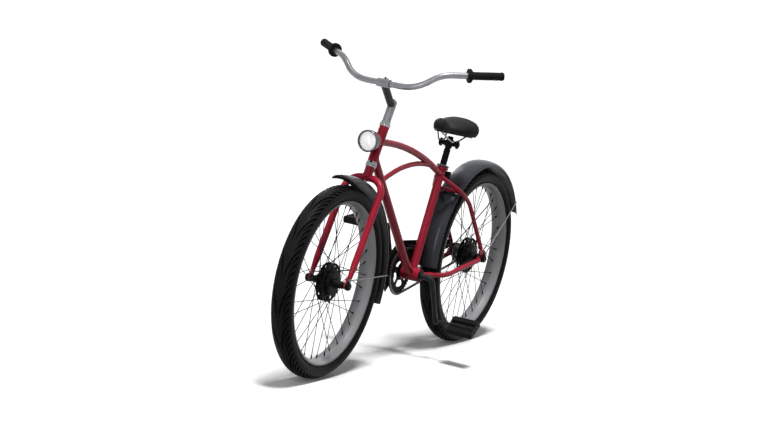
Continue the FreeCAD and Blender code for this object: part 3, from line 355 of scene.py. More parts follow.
def pulled(bm, faces, way):  # flat faces drawn out into a solid
    made = bmesh.ops.extrude_face_region(bm, geom=faces, use_keep_orig=True)["geom"]
    bmesh.ops.translate(bm, verts=only(made, bmesh.types.BMVert), vec=way)


def capped(bm, *loops):
    for loop in loops:
        bmesh.ops.contextual_create(bm, geom=loop)


def boxed(place, size):
    bm = bmesh.new()
    bmesh.ops.create_cube(bm, size=1, matrix=place @ Matrix.Diagonal((*size, 1)))
    return bm


def creased(bm):
    return [edge for edge in bm.edges if len(edge.link_faces) == 2 and edge.calc_face_angle() > 1]


def rounded(bm, edges, offset, steps=2):
    bmesh.ops.bevel(bm, geom=edges, offset=offset, affect="EDGES", segments=steps, profile=0.5, material=-1)


def crosswise(bm):  # edges that run from one side of the bicycle to the other
    return [edge for edge in bm.edges if abs((edge.verts[0].co - edge.verts[1].co).y) > 1]


def modified(piece, kind, **settings):
    setAll(piece.modifiers.new(kind.lower(), kind), settings)


def takeShape(piece):  # the modifiers' result becomes the mesh
    graph = bpy.context.evaluated_depsgraph_get()
    done = bpy.data.meshes.new_from_object(piece.evaluated_get(graph))
    piece.modifiers.clear()
    piece.data = done


def polar(centre, radius, degrees, side=0.0):
    turn = math.radians(degrees)
    return centre + Vector((radius * math.cos(turn), side, radius * math.sin(turn)))


def standing(origin, way, side=None):  # a matrix at origin whose Z runs along way
    up = Vector(way).normalized()
    if side is None:
        side = sideways if abs(up.y) < 0.9 else Vector((1, 0, 0))
    first = (side - up * side.dot(up)).normalized()
    turn = Matrix((first, up.cross(first), up)).transposed()
    return Matrix.Translation(origin) @ turn.to_4x4()


def flipped(pairs):  # the other side of an outline, from its far end back
    return [(first, -second) for first, second in pairs[::-1]]


def softened(points, size, closed=True, steps=3):  # corners of a profile eased over a length
    eased = []
    count = len(points)
    for index, point in enumerate(points):
        corner = Vector(point)
        if not closed and index in (0, count - 1):
            eased.append(corner)
            continue
        before = Vector(points[index - 1]) - corner
        after = Vector(points[(index + 1) % count]) - corner
        start = corner + before.normalized() * min(size, before.length * 0.45)
        end = corner + after.normalized() * min(size, after.length * 0.45)
        for step in range(steps + 1):
            share = step / steps
            eased.append(start * (1 - share) ** 2 + corner * 2 * share * (1 - share) + end * share ** 2)
    return eased


def spun(profile, origin, way, steps, closed=True):  # profile: (radius, along) pairs
    bm = bmesh.new()
    place = standing(origin, way)
    verts = [bm.verts.new(place @ Vector((radius, 0, along))) for radius, along in profile]
    ends = verts[1:] + verts[:1] if closed else verts[1:]
    edges = [bm.edges.new(pair) for pair in zip(verts, ends)]
    bmesh.ops.spin(bm, geom=verts + edges, cent=origin, axis=way, angle=math.radians(360), steps=steps,
                   use_merge=True)
    bmesh.ops.remove_doubles(bm, verts=bm.verts, dist=0.002)
    outward(bm)
    return bm


def merged(target, bm, places=(Matrix.Identity(4),)):  # bm goes into target once for each place
    for place in places:
        spare = bpy.data.meshes.new("spare")
        bm.to_mesh(spare)
        spare.transform(place)
        target.from_mesh(spare)
        bpy.data.meshes.remove(spare)
    bm.free()


def rod(target, start, end, radius, sides=8, endRadius=None):
    place = standing((start + end) / 2, end - start)
    bmesh.ops.create_cone(target, cap_ends=True, cap_tris=False, segments=sides, radius1=radius,
                          radius2=radius if endRadius is None else endRadius,
                          depth=(end - start).length, matrix=place)


def ringed(target, stations, sides, closed=False):  # rings of (centre, way, side, wide, tall), bridged
    loops = []
    for centre, way, side, wide, tall in stations:
        place = standing(centre, way, side) @ Matrix.Diagonal((wide, tall, 1, 1))
        ring = bmesh.ops.create_circle(target, cap_ends=False, radius=1, segments=sides, matrix=place)
        loops.append(list({edge for vert in ring["verts"] for edge in vert.link_edges}))
    pairs = list(zip(loops, loops[1:] + loops[:1])) if closed else list(zip(loops, loops[1:]))
    for first, second in pairs:
        bmesh.ops.bridge_loops(target, edges=first + second)
    if not closed:
        capped(target, loops[0], loops[-1])


def beaded(target, spots, side, sizes, sides, closed=True):  # a round bar along a row of spots
    rings = []
    for number, (spot, size) in enumerate(zip(spots, sizes)):
        before = spots[number - 1] if closed else spots[max(number - 1, 0)]
        after = spots[(number + 1) % len(spots)] if closed else spots[min(number + 1, len(spots) - 1)]
        rings.append((spot, after - before, side, size, size))
    ringed(target, rings, sides, closed)


def mirroredPair(bm):  # the piece and its twin on the other side
    pair = bmesh.new()
    merged(pair, bm, (Matrix.Identity(4), Matrix.Diagonal((1, -1, 1, 1))))
    outward(pair)
    return pair


tyre = dict(radius=350.0, centreRadius=320.0, rise=29.0, half=39.5, reference=36.0, pitches=16, sipes=4,
            longWide=6.4, longMost=38.0, sipeWide=7.6, sipeMost=12.5, depth=4.2, wall=0.55, treadEnd=66.0,
            rows=20, sweep=125.0, lean=20.0, curve=2.4, beadRadius=292.5, beadHalf=27.0)


def tyreSlope(share):  # how far along the tread a groove moves for each step across it
    reach = tyre["treadEnd"] * math.pi / 180 * tyre["reference"]
    return (tyre["sweep"] * tyre["curve"] * (1 - share) ** (tyre["curve"] - 1) + tyre["lean"]) / reach


def tyreShift(share):
    return tyre["sweep"] * (1 - (1 - share) ** tyre["curve"]) + tyre["lean"] * share


def tyreColumns(share):  # column edges over one pitch: half a block, then grooves and blocks in turn
    pitch = 2 * math.pi * tyre["radius"] / tyre["pitches"]
    stretch = math.sqrt(1 + tyreSlope(share) ** 2)
    long = min(tyre["longWide"] * stretch, tyre["longMost"])
    sipe = min(tyre["sipeWide"] * stretch, tyre["sipeMost"])
    block = (pitch - long - tyre["sipes"] * sipe) / (tyre["sipes"] + 1)
    edges = [0.0]
    for width in [block / 2, long] + ([block / 3] * 3 + [sipe]) * tyre["sipes"] + [block / 4] * 2:
        edges.append(edges[-1] + width)
    return edges


def tyreWrap(point, centre):  # a point of the flat tread (along, across, height) laid on the casing
    lean = point.y / tyre["reference"]
    out = Vector((math.cos(lean) / tyre["rise"], math.sin(lean) / tyre["half"])).normalized()
    radius = tyre["centreRadius"] + tyre["rise"] * math.cos(lean) + out.x * point.z
    side = tyre["half"] * math.sin(lean) + out.y * point.z
    return polar(centre, radius, math.degrees(point.x / tyre["radius"]), side)


def buildTyre(name, centre, body, finish):
    walls = [(70, 0), (72, 1.1), (77, 1.1), (79, 0), (88, 0), (97, 0), (106, 0), (112, 0), (113.5, 0.9),
             (117, 0.9), (118.5, 0), (126, 0), (133, 0)]  # degrees round the casing, height of its ribs
    heights = [(index * tyre["treadEnd"] / tyre["rows"], 0.0) for index in range(tyre["rows"] + 1)] + walls
    half = len(heights) - 1
    columns = len(tyreColumns(1)) - 1
    bm = bmesh.new()
    bmesh.ops.create_grid(bm, x_segments=columns, y_segments=2 * half, size=1)
    grooves = []
    for face in bm.faces:
        spot = face.calc_center_median()
        column = int((spot.x + 1) / 2 * columns)
        row = abs((spot.y + 1) * half - half)
        inLong = column == 1 and tyre["rows"] * 0.1 < row < tyre["rows"] * 0.97
        inSipe = column >= 5 and (column - 1) % 4 == 0 and tyre["rows"] * 0.42 < row < tyre["rows"] * 0.97
        if inLong or inSipe:
            grooves.append(face)
    for vert in bm.verts:
        column = round((vert.co.x + 1) / 2 * columns)
        row = round((vert.co.y + 1) * half) - half
        degrees, height = heights[abs(row)]
        share = min(degrees / tyre["treadEnd"], 1)
        along = tyreColumns(share)[column] + tyreShift(share)
        across = math.copysign(math.radians(degrees) * tyre["reference"], row)
        vert.co = Vector((along, across, height))
    bmesh.ops.inset_region(bm, faces=grooves, thickness=tyre["wall"], depth=-tyre["depth"],
                           use_even_offset=True)
    # marks the groove vertices, whose colour is darkened as painted shade and which are made rougher
    hollow = bm.verts.layers.float.new("hollow")
    for vert in {vert for face in grooves for vert in face.verts}:
        vert[hollow] = 1.0
    for vert in bm.verts:
        vert.co = tyreWrap(vert.co, centre)
    share = (tyre["pitches"] - 1) / tyre["pitches"]
    bmesh.ops.spin(bm, geom=bm.verts[:] + bm.edges[:] + bm.faces[:], cent=centre, axis=-sideways,
                   angle=2 * math.pi * share, steps=tyre["pitches"] - 1, use_duplicate=True)
    bmesh.ops.remove_doubles(bm, verts=bm.verts, dist=0.02)
    rims = [edge for edge in bm.edges if edge.is_boundary]  # the two beads
    made = bmesh.ops.extrude_edge_only(bm, edges=rims)["geom"]
    for vert in only(made, bmesh.types.BMVert):
        out = vert.co - centre
        ring = Vector((out.x, 0, out.z)).normalized() * tyre["beadRadius"]
        vert.co = centre + ring + Vector((0, math.copysign(tyre["beadHalf"], out.y), 0))
    bmesh.ops.bridge_loops(bm, edges=only(made, bmesh.types.BMEdge))
    outward(bm)
    print(name, len(bm.faces), "faces")
    addPiece(name, bm, "tyre_rubber", body, (name.replace("Tread", "_tyre"),), 32, finish)


buildTyre("frontTread", frontAxle, "front_wheel", finishes["tyre_rubber"])
buildTyre("rearTread", rearAxle, "rear_wheel", rearTyreFinish)
print("tyres done")

wheel = dict(spokes=36, spokeRadius=1.35, nippleRadius=2.5, nippleLength=14.0, flange=70.0, hole=66.0,
             drum=46.0, windows=12, windowPlace=55.5, windowRadius=7.0, near=8, far=12, cross=60, seat=280,
             seatSide=2.5, cone=3, coneFoot=1.6, elbow=2)


def buildRim(name, centre, body, finish):
    outside = [(298, 30.6), (297, 32.2), (290.5, 32.2), (287, 27.5), (279, 12.5)]
    inside = [(281, 12), (291, 28.6), (296.4, 29.2)]
    loop = outside + flipped(outside) + flipped(inside) + inside
    bm = spun(softened(loop, 3.0), centre, sideways, 144)
    addPiece(name, bm, "rim_metal", body, (name.replace("Hoop", "_rim"),), 40, finish)


def holedFlange(centre, low, high):  # a ring plate with round windows
    bm = bmesh.new()
    lie = standing(centre + sideways * low, sideways)
    bmesh.ops.create_circle(bm, cap_ends=False, radius=wheel["flange"], segments=72, matrix=lie)
    bmesh.ops.create_circle(bm, cap_ends=False, radius=wheel["drum"] - 1, segments=48, matrix=lie)
    for number in range(wheel["windows"]):
        spot = polar(centre, wheel["windowPlace"], (number + 0.5) * 360 / wheel["windows"], low)
        bmesh.ops.create_circle(bm, cap_ends=False, radius=wheel["windowRadius"], segments=18,
                                matrix=standing(spot, sideways))
    bmesh.ops.triangle_fill(bm, use_beauty=True, use_dissolve=False, edges=bm.edges)
    pulled(bm, bm.faces[:], sideways * (high - low))
    outward(bm)
    rounded(bm, creased(bm), 0.5)
    return bm


def buildHub(name, centre, body, leftEnd, rightEnd):
    bm = bmesh.new()
    shell = [(14.9, 25), (42, 24), (46, 21), (46, 8), (30, 5)]
    drum = [(4.9, leftEnd), (12.9, leftEnd), *shell, *flipped(shell), (12.9, rightEnd), (4.9, rightEnd)]
    merged(bm, spun(softened(drum, 2.2), centre, sideways, 64))
    for side in (1, -1):
        dustRing = [(38, side * 24.2), (38, side * 25.4), (20, side * 26.6), (20, side * 24.2)]
        merged(bm, spun(softened(dustRing, 0.8), centre, sideways, 64))
        merged(bm, holedFlange(centre, *sorted((side * wheel["near"], side * wheel["far"]))))
    for number in range(wheel["spokes"]):
        rimAngle = number * 360 / wheel["spokes"]
        side = 1 if number % 2 == 0 else -1
        lead = 1 if (number // 2) % 2 == 0 else -1
        face = side * wheel["far" if lead > 0 else "near"]
        out = sideways * (side * lead)
        foot = polar(centre, wheel["hole"], rimAngle + lead * wheel["cross"], face)
        elbow = foot + out * wheel["elbow"]
        end = polar(centre, wheel["seat"], rimAngle, side * wheel["seatSide"])
        way = (end - elbow).normalized()
        seat = end - way * (wheel["nippleLength"] + 1.5)
        wide = seat + way * wheel["cone"]
        rod(bm, elbow - way * 1.3, wide, wheel["spokeRadius"], 8)
        rod(bm, seat, wide, wheel["coneFoot"], 10, wheel["nippleRadius"])
        rod(bm, wide, end - way * 1.2, wheel["nippleRadius"], 10)
        rod(bm, foot - out * 4.4, elbow + out, wheel["spokeRadius"], 8)
        rod(bm, foot - out * 5.4, foot - out * 4, 2.4, 10, 2.0)  # the spoke's head
    outward(bm)
    addPiece(name, bm, "black_metal", body, (name.replace("Lacing", "_hub_and_spokes"),))


buildRim("frontHoop", frontAxle, "front_wheel", finishes["rim_metal"])
buildRim("rearHoop", rearAxle, "rear_wheel", rearRimFinish)
buildHub("frontLacing", frontAxle, "front_wheel", 58, -58)
buildHub("rearLacing", rearAxle, "rear_wheel", 38, -32)
print("wheels laced")

chain = dict(pitch=12.7, links=108, line=-47.0, ring=89.011, sprocket=36.568, ringTeeth=44, cogTeeth=18,
             plate=4.3, waist=3.1, innerPlate=(1.7, 2.65), outerPlate=(2.72, 3.65), roller=(1.65, 3.9, 12),
             pin=(4.1, 1.9, 8))


def chainSpot(count):  # the place of one chain pin, counted from the top of the chainring
    apart = (bracket - rearAxle).length
    slope = math.asin((chain["ring"] - chain["sprocket"]) / apart)
    run = apart * math.cos(slope) / chain["pitch"]
    roundRing = (math.pi + 2 * slope) * chain["ringTeeth"] / (2 * math.pi)
    roundCog = (math.pi - 2 * slope) * chain["cogTeeth"] / (2 * math.pi)
    way = bracket - rearAxle
    base = math.degrees(math.atan2(way.z, way.x))
    leave = 90 + math.degrees(slope)
    if count < roundRing:
        return polar(bracket, chain["ring"], base + leave - count * 360 / chain["ringTeeth"])
    count -= roundRing
    if count < run:
        start = polar(bracket, chain["ring"], base - leave)
        return start.lerp(polar(rearAxle, chain["sprocket"], base - leave), count / run)
    count -= run
    if count < roundCog:
        return polar(rearAxle, chain["sprocket"], base - leave - count * 360 / chain["cogTeeth"])
    start = polar(rearAxle, chain["sprocket"], base + leave)
    return start.lerp(polar(bracket, chain["ring"], base + leave), (count - roundCog) / run)


def linkPlate(target, low, high):  # a waisted plate with two round ends
    half = chain["pitch"] / 2
    points = []
    for end in (1, -1):
        for turn in (-75, -38, 0, 38, 75):
            spin = math.radians(turn + (0 if end > 0 else 180))
            points.append((end * half + chain["plate"] * math.cos(spin), chain["plate"] * math.sin(spin)))
        points.append((0, end * chain["waist"]))
    verts = [target.verts.new((x, low, z)) for x, z in points]
    pulled(target, [target.faces.new(verts)], (0, high - low, 0))


def chainLink(inner):
    bm = bmesh.new()
    near, far = chain["innerPlate" if inner else "outerPlate"]
    linkPlate(bm, near, far)
    linkPlate(bm, -far, -near)
    half, radius, sides = chain["roller" if inner else "pin"]
    for end in (-chain["pitch"] / 2, chain["pitch"] / 2):
        rod(bm, Vector((end, -half, 0)), Vector((end, half, 0)), radius, sides)
    outward(bm)
    return bm


def buildChain():
    bm = bmesh.new()
    for inner in (True, False):
        places = []
        for number in range(0 if inner else 1, chain["links"], 2):
            first = chainSpot(number)
            last = chainSpot((number + 1) % chain["links"])
            way = last - first
            turn = Matrix.Rotation(-math.atan2(way.z, way.x), 4, "Y")
            places.append(Matrix.Translation((first + last) / 2 + sideways * chain["line"]) @ turn)
        merged(bm, chainLink(inner), places)
    addPiece("rollerChain", bm, "chain_steel", "frame", ("chain",), 30)


buildChain()
print("chain done")

guard = dict(outer=117.0, inner=40.0, tail=17.0, tailPin=76.0, first=-38.0, last=-30.0, under=112.0,
             plane=-55.8, bead=2.1)


def buildGuardLip():  # the rolled edge of the chain guard
    tail = chainSpot(guard["tailPin"])
    away = bracket - tail
    lean = math.asin((guard["outer"] - guard["tail"]) / away.length)
    over = math.degrees(math.atan2(away.z, away.x) + lean) + 90
    outline = []
    arcs = ((bracket, "outer", guard["first"], over, 40), (tail, "tail", over, over + 180, 12),
            (bracket, "inner", guard["under"], guard["last"], 20))
    for centre, size, start, end, steps in arcs:
        for step in range(steps + 1):
            turn = start + (end - start) * step / steps
            outline.append(polar(centre, guard[size], turn, guard["plane"]))
    bm = bmesh.new()
    beaded(bm, outline, sideways, [guard["bead"]] * len(outline), 10)
    outward(bm)
    addPiece("guardLip", bm, "black_metal", "frame", (), 50)


buildGuardLip()
print("guard lip done")

fender = dict(edge=367.0, top=384.0, half=45.4, sheet=1.3, curl=2.0, stride=2.2, notch=(60, 40, 34),
              corner=8.0)


def fenderProfile():
    rise = fender["top"] - fender["edge"]
    leans = [math.radians(step * 7.5) for step in range(-12, 13)]
    outer = [(fender["edge"] + rise * math.cos(lean), fender["half"] * math.sin(lean)) for lean in leans]
    rise, width = rise - fender["sheet"], fender["half"] - fender["sheet"]
    inner = [(fender["edge"] + rise * math.cos(lean), width * math.sin(lean)) for lean in leans[::-1]]
    lip = fender["curl"]
    left = [(fender["edge"] - lip, fender["half"]), (fender["edge"] - lip * 1.6, fender["half"] - lip * 0.7),
            (fender["edge"] - lip, fender["half"] - lip * 1.4)]
    return outer + left + inner + flipped(left)


def buildFender(name, centre, first, last, body, notch=None):
    bm = bmesh.new()
    verts = [bm.verts.new(polar(centre, radius, first, side)) for radius, side in fenderProfile()]
    edges = [bm.edges.new(pair) for pair in zip(verts, verts[1:] + verts[:1])]
    made = bmesh.ops.spin(bm, geom=verts + edges, cent=centre, axis=-sideways,
                          angle=math.radians(last - first), steps=int((last - first) / fender["stride"]))
    capped(bm, edges, only(made["geom_last"], bmesh.types.BMEdge))
    outward(bm)
    piece = addPiece(name, bm, "fender_paint", body, (name.replace("Guard", "_fender"),))
    if notch is not None:
        cutNotch(piece, notch)


def cutNotch(piece, spot):  # room for the chain in the fender's right edge
    box = boxed(Matrix.Translation(spot), fender["notch"])
    rounded(box, crosswise(box), fender["corner"], 4)
    cutter = linked("notchBox", meshOf("notchBox", box))
    modified(piece, "BOOLEAN", operation="DIFFERENCE", object=cutter, solver="EXACT")
    takeShape(piece)
    bpy.data.objects.remove(cutter)
    piece.data.set_sharp_from_angle(angle=math.radians(40))


crossing = chainSpot(98.5)
buildFender("rearGuard", rearAxle, -2, 156, "frame", crossing + Vector((0, -60, 0)))
buildFender("frontGuard", frontAxle, 90, 197, "fork")
print("fenders done")

grip = dict(end=Vector((180, 367, 1143)), knee=Vector((330, 198, 1121)), length=136.0, radius=14.6, bore=11.2,
            ribStart=23.0, ribs=15, ribStep=6.4, ribRise=0.6)


def buildGrips():
    way = (grip["end"] - grip["knee"]).normalized()
    start = grip["end"] - way * (grip["length"] - 4)
    bore = grip["bore"]
    profile = [(bore, 0.6), (21, 0.6), (25, 2), (26, 5), (26, 10), (24.8, 13.4), (18.4, 17.4), (15, 20.6)]
    for rib in range(grip["ribs"]):
        foot = grip["ribStart"] + rib * grip["ribStep"]
        low = grip["radius"] - 0.5
        high = low + grip["ribRise"]
        profile += [(low, foot), (high, foot + 1.1), (high, foot + 3.6), (low, foot + 4.7)]
    profile += [(14.1, 121), (15.2, 123), (15.2, 130), (13.4, 134.4), (8, 136), (0, 136), (0, 132.5)]
    profile.append((bore, 132.5))
    bm = spun(softened(profile, 0.6, True, 2), start, way, 48)
    addPiece("ribbedGrips", mirroredPair(bm), "grip_rubber", "fork", ("grips",))


buildGrips()

crank = dict(elbow=88.0, eye=104.0, length=175.0, backAngle=18.0, spindle=11.0, straight=(30.0, 64.0),
             bendIn=22.0, bendOut=24.0,
             arm=((0.2, 12.4, 10.2), (0.5, 11.6, 8.6), (0.8, 12.2, 7.8), (0.93, 14.2, 7.8)),
             tip=((7, 13, 7.8), (12.6, 8.5, 6.4), (14.4, 3.5, 3.5)))


def buildCrank():
    bm = bmesh.new()
    halves = {}
    for side in (-1, 1):
        turn = 270 - crank["backAngle"] + (0 if side > 0 else 180)
        down = polar(Vector(), 1, turn)
        hinge = down.cross(sideways)
        out = sideways * side
        corner = bracket + out * crank["elbow"]
        eye = polar(bracket, crank["length"], turn, side * crank["eye"])
        way = (eye - corner).normalized()
        thick = crank["spindle"]
        start = corner - out * crank["bendIn"]
        end = corner + way * crank["bendOut"]
        arm = [(bracket + out * reach, out, hinge, thick, thick) for reach in crank["straight"]]
        for step in range(1, 6):  # the bend from the spindle into the arm
            share = step / 6
            spot = start * (1 - share) ** 2 + corner * 2 * share * (1 - share) + end * share ** 2
            heading = (corner - start) * (1 - share) + (end - corner) * share
            arm.append((spot, heading, hinge, thick + share * 1.2, thick - share * 0.6))
        arm += [(corner.lerp(eye, share), way, hinge, wide, deep) for share, wide, deep in crank["arm"]]
        arm += [(eye + way * past, way, hinge, wide, deep) for past, wide, deep in crank["tip"]]
        halves[side] = [(spot, heading * side, *sizes) for spot, heading, *sizes in arm]
        rod(bm, eye - out * 9, eye - out * 7, 8.0, 24)
        rod(bm, eye + out * 7.4, eye + out * 12, 9.0, 6)  # flats of the pedal spindle
        rod(bm, eye - out * 9, eye + out * 55, 6.1, 24)
    ringed(bm, halves[-1][::-1] + halves[1], 24)
    washer = [(10.8, -54.2), (20, -54.2), (20, -48.4), (10.8, -48.4)]
    merged(bm, spun(softened(washer, 1.0), bracket, sideways, 48))
    outward(bm)
    addPiece("bentCrank", bm, "black_metal", "crank", ("crank",), 40, crankGrey)


buildCrank()
print("grips and crank done")

pedal = dict(inside=166.0, length=108.0, plate=(80, 5, 24), corner=8.0, block=28.0, ribStep=7.2, inset=5.2)


def buildPedal(name, eye, side, tilt, body):
    low = min(side * pedal["inside"], side * (pedal["inside"] + pedal["length"]))
    high = low + pedal["length"]
    turn = Matrix.Translation((eye[0], 0, eye[1])) @ Matrix.Rotation(math.radians(tilt), 4, "Y")
    bm = bmesh.new()
    barrel = [(6.5, low), (11.5, low), (11.5, low + 8), (10, low + 10)]
    barrel += [(10, high - 10), (11.5, high - 8), (11.5, high), (6.5, high)]
    merged(bm, spun(softened(barrel, 0.8), Vector(), sideways, 32))
    for edge in (low + pedal["plate"][1] / 2, high - pedal["plate"][1] / 2):
        plate = boxed(Matrix.Translation((0, edge, 0)), pedal["plate"])
        rounded(plate, crosswise(plate), pedal["corner"], 5)
        rounded(plate, creased(plate), 0.8)
        merged(bm, plate)
    for centre in (-pedal["block"], pedal["block"]):  # bolts that hold the rubber blocks
        for edge, out in ((low, -1), (high, 1)):
            rod(bm, Vector((centre, edge, 0)), Vector((centre, edge + out * 1.4, 0)), 4.2, 6)
    bmesh.ops.transform(bm, matrix=turn, verts=bm.verts)
    outward(bm)
    addPiece(name + "PedalCage", bm, "black_plastic", body, (body + "_body",))
    treads = bmesh.new()
    for centre in (-pedal["block"], pedal["block"]):
        outline = []
        for flip in (1, -1):  # three lengthwise ribs above and below
            for rib in (-1, 0, 1):
                mid = centre + flip * rib * pedal["ribStep"]
                outline += [(mid - flip * 3.3, flip * 11.2), (mid - flip * 2.5, flip * 13.6),
                            (mid + flip * 2.5, flip * 13.6), (mid + flip * 3.3, flip * 11.2)]
        points = softened(outline, 0.8, True, 2)
        verts = [treads.verts.new((point.x, low + pedal["inset"], point.y)) for point in points]
        pulled(treads, [treads.faces.new(verts)], (0, pedal["length"] - 2 * pedal["inset"], 0))
    bmesh.ops.transform(treads, matrix=turn, verts=treads.verts)
    outward(treads)
    addPiece(name + "PedalRubber", treads, "pedal_rubber", body, (body + "_treads",))


buildPedal("left", (-151.093, 150.565), 1, 36, "left_pedal")
buildPedal("right", (-42.937, 483.435), -1, 4, "right_pedal")
print("pedals done")

lamp = dict(front=Vector((443, 0, 851)), way=Vector((-1, 0, 0)), steps=72, bulbSteps=24)


def buildLamp():
    front, way, steps = lamp["front"], lamp["way"], lamp["steps"]
    shell = [(0, 75), (12, 73.4), (22, 67), (29, 58), (33.4, 46), (35.4, 34), (36, 24), (36, 15)]
    inside = [(34, 15), (33.4, 24), (31, 44), (20, 62), (0, 70)]
    bucket = spun(softened(shell, 4.0, False) + softened(inside, 3.0, False), front, way, steps, False)
    addPiece("lampBucket", bucket, "frame_paint", "frame", ("headlamp_bucket",), 50)
    bezel = [(36.2, 26), (37.6, 26), (38.6, 24), (38.8, 10), (40, 8), (40, 3.5), (38, 0.8), (35.4, 0)]
    bezel += [(34.2, 1.2), (34.4, 5), (36.2, 9)]
    ring = spun(softened(bezel, 1.0), front, way, steps)
    # the bezel takes the darker chrome copy: painted shade
    addPiece("lampBezel", ring, "bright_chrome", "frame", ("headlamp_bezel",), 50, paintedShadeChrome)
    face = [(0, 1.4), (10, 1.9), (20, 3.5), (28, 6), (34.4, 9.4)]
    face += [(34.4, 11.4), (28, 8.4), (20, 5.9), (10, 4.3), (0, 3.8)]
    glass = spun(softened(face, 2.0, False), front, way, steps, False)
    addPiece("lampGlass", glass, "lamp_glass", "frame", ("headlamp_lens",), 50)
    dish = bmesh.new()
    bowl = [(33.2, 14.6), (31.4, 22), (27, 31), (20, 38.4), (10, 43.4), (0, 45)]
    bowl += [(0, 44), (9.6, 42.4), (19.2, 37.4), (26, 30.2), (30.2, 21.6), (32, 14.6)]
    merged(dish, spun(softened(bowl, 1.5, False), front, way, steps))
    bulb = [(0, 26.6), (3, 27.4), (5, 31), (4.4, 35), (3.2, 39), (3.2, 42.4), (0, 43)]
    merged(dish, spun(softened(bulb, 1.2, False), front, way, lamp["bulbSteps"], False))
    addPiece("lampDish", dish, "bright_chrome", "frame", ("headlamp_reflector",), 50, silvering)


buildLamp()
print("headlamp done")

# each station: X, half width, top, and how far the underside lies above the base
saddle = dict(voxel=0.005, pressure=1.6, frames=14, reach=0.004, shrink=0.975, ease=8, seam=9.5, seamHalf=2.4,
              middle=Vector((-240, 0, 890)), base=872, baseFrom=-130, baseSlope=0.133, nose=-140,
              noseSlope=0.25, tail=-345, tailSlope=0.5,
              section=((0.85, 0.0), (0.96, 0.16), (1.0, 0.4), (0.95, 0.63), (0.8, 0.81), (0.56, 0.92),
                       (0.28, 0.985), (0, 1)),
              stations=((-117, 9, 897, 7), (-123, 17, 907, 3), (-140, 26.5, 915.5, 0.5),
                        (-160, 29.5, 917.5, 0), (-178, 29.5, 909, 0), (-194, 31, 894, 0), (-216, 38, 886, 0),
                        (-246, 54, 891, 0), (-288, 77, 906, 0), (-328, 87, 915, 0), (-349, 78, 908, 2),
                        (-364, 54, 894, 9)))


def panLevel(x):
    return saddle["base"] + (x - saddle["baseFrom"]) * saddle["baseSlope"]


def buildSaddle():
    bm = bmesh.new()
    loops = []
    for x, half, high, lift in saddle["stations"]:
        low = panLevel(x) + lift
        left = [Vector((x, half * wide, low + (high - low) * rise)) for wide, rise in saddle["section"]]
        ring = left + [Vector((p.x, -p.y, p.z)) for p in left[-2::-1]]
        verts = [bm.verts.new(point) for point in ring]
        loops.append([bm.edges.new(pair) for pair in zip(verts, verts[1:] + verts[:1])])
    for first, second in zip(loops, loops[1:]):
        bmesh.ops.bridge_loops(bm, edges=first + second)
    capped(bm, loops[0], loops[-1])
    outward(bm)
    bmesh.ops.translate(bm, verts=bm.verts, vec=-saddle["middle"])
    bmesh.ops.scale(bm, vec=(saddle["shrink"] ** 0.5, saddle["shrink"], saddle["shrink"]), verts=bm.verts)
    bmesh.ops.translate(bm, verts=bm.verts, vec=saddle["middle"])
    piece = addPiece("saddlePad", bm, "saddle_vinyl", "seat", ("saddle_cover",), 60)
    swell(piece)
    trimPad(piece)
    modified(piece, "SUBSURF", levels=1, render_levels=1)


def swell(piece):  # the foam pushes the cover out between its edges
    modified(piece, "REMESH", mode="VOXEL", voxel_size=saddle["voxel"], use_smooth_shade=True)
    takeShape(piece)
    rest = [vert.co.copy() for vert in piece.data.vertices]
    held = piece.vertex_groups.new(name="held")
    low = [index for index, point in enumerate(rest) if point.z * 1000 < panLevel(point.x * 1000) + 5]
    held.add(low, 1.0, "REPLACE")
    cloth = piece.modifiers.new("cloth", "CLOTH").settings
    cloth.use_pressure = True
    cloth.uniform_pressure_force = saddle["pressure"]
    cloth.effector_weights.gravity = 0
    cloth.vertex_group_mass = "held"
    for number in range(1, saddle["frames"] + 1):
        scene.frame_set(number)
    takeShape(piece)
    scene.frame_set(1)
    for vert, start in zip(piece.data.vertices, rest):
        moved = vert.co - start
        if moved.length > saddle["reach"]:
            vert.co = start + moved.normalized() * saddle["reach"]
    modified(piece, "SMOOTH", factor=0.5, iterations=saddle["ease"], vertex_group="held",
             invert_vertex_group=True)
    takeShape(piece)
    piece.vertex_groups.clear()


def trimPad(piece):  # flat against the pan, and a sewn seam low round the side
    for vert in piece.data.vertices:
        x, y, z = vert.co * 1000
        level = panLevel(x)
        front = (x - saddle["nose"]) * saddle["noseSlope"]
        lift = max(0.0, front, (saddle["tail"] - x) * saddle["tailSlope"])
        if z < level + lift + 3.5:
            vert.co.z = (level + lift - 0.2) / 1000
        seam = abs(z - level - lift - saddle["seam"])
        if seam < saddle["seamHalf"] and abs(y) > 4:
            vert.co.y -= math.copysign((saddle["seamHalf"] - seam) * 0.0005, y)
    piece.data.polygons.foreach_set("use_smooth", [True] * len(piece.data.polygons))


rails = dict(radius=3.4, bend=14.0,
             route=((-150, 7, 866), (-215, 28, 825), (-272, 28, 825), (-305, 42, 845.5)))


def buildRails():
    spots = softened(rails["route"], rails["bend"], False, 6)
    bm = bmesh.new()
    beaded(bm, spots, sideways, [rails["radius"]] * len(spots), 14, False)
    addPiece("saddleRails", mirroredPair(bm), "bright_chrome", "seat", ("saddle_rails",), 50)


pan = dict(share=0.75, top=-0.6, thick=3.9, corner=12.0, ease=1.0)


def buildPan():  # the moulded base under the pad
    left = [(x, half * pan["share"]) for x, half, high, lift in saddle["stations"] if lift < 1]
    outline = softened(left + flipped(left), pan["corner"], True, 4)
    bm = bmesh.new()
    face = bm.faces.new([bm.verts.new((p.x, p.y, panLevel(p.x) + pan["top"])) for p in outline])
    pulled(bm, [face], (0, 0, -pan["thick"]))
    outward(bm)
    rounded(bm, creased(bm), pan["ease"])
    addPiece("saddleBase", bm, "black_plastic", "seat", ("saddle_pan",))


buildSaddle()
buildPan()
buildRails()
print("saddle done")

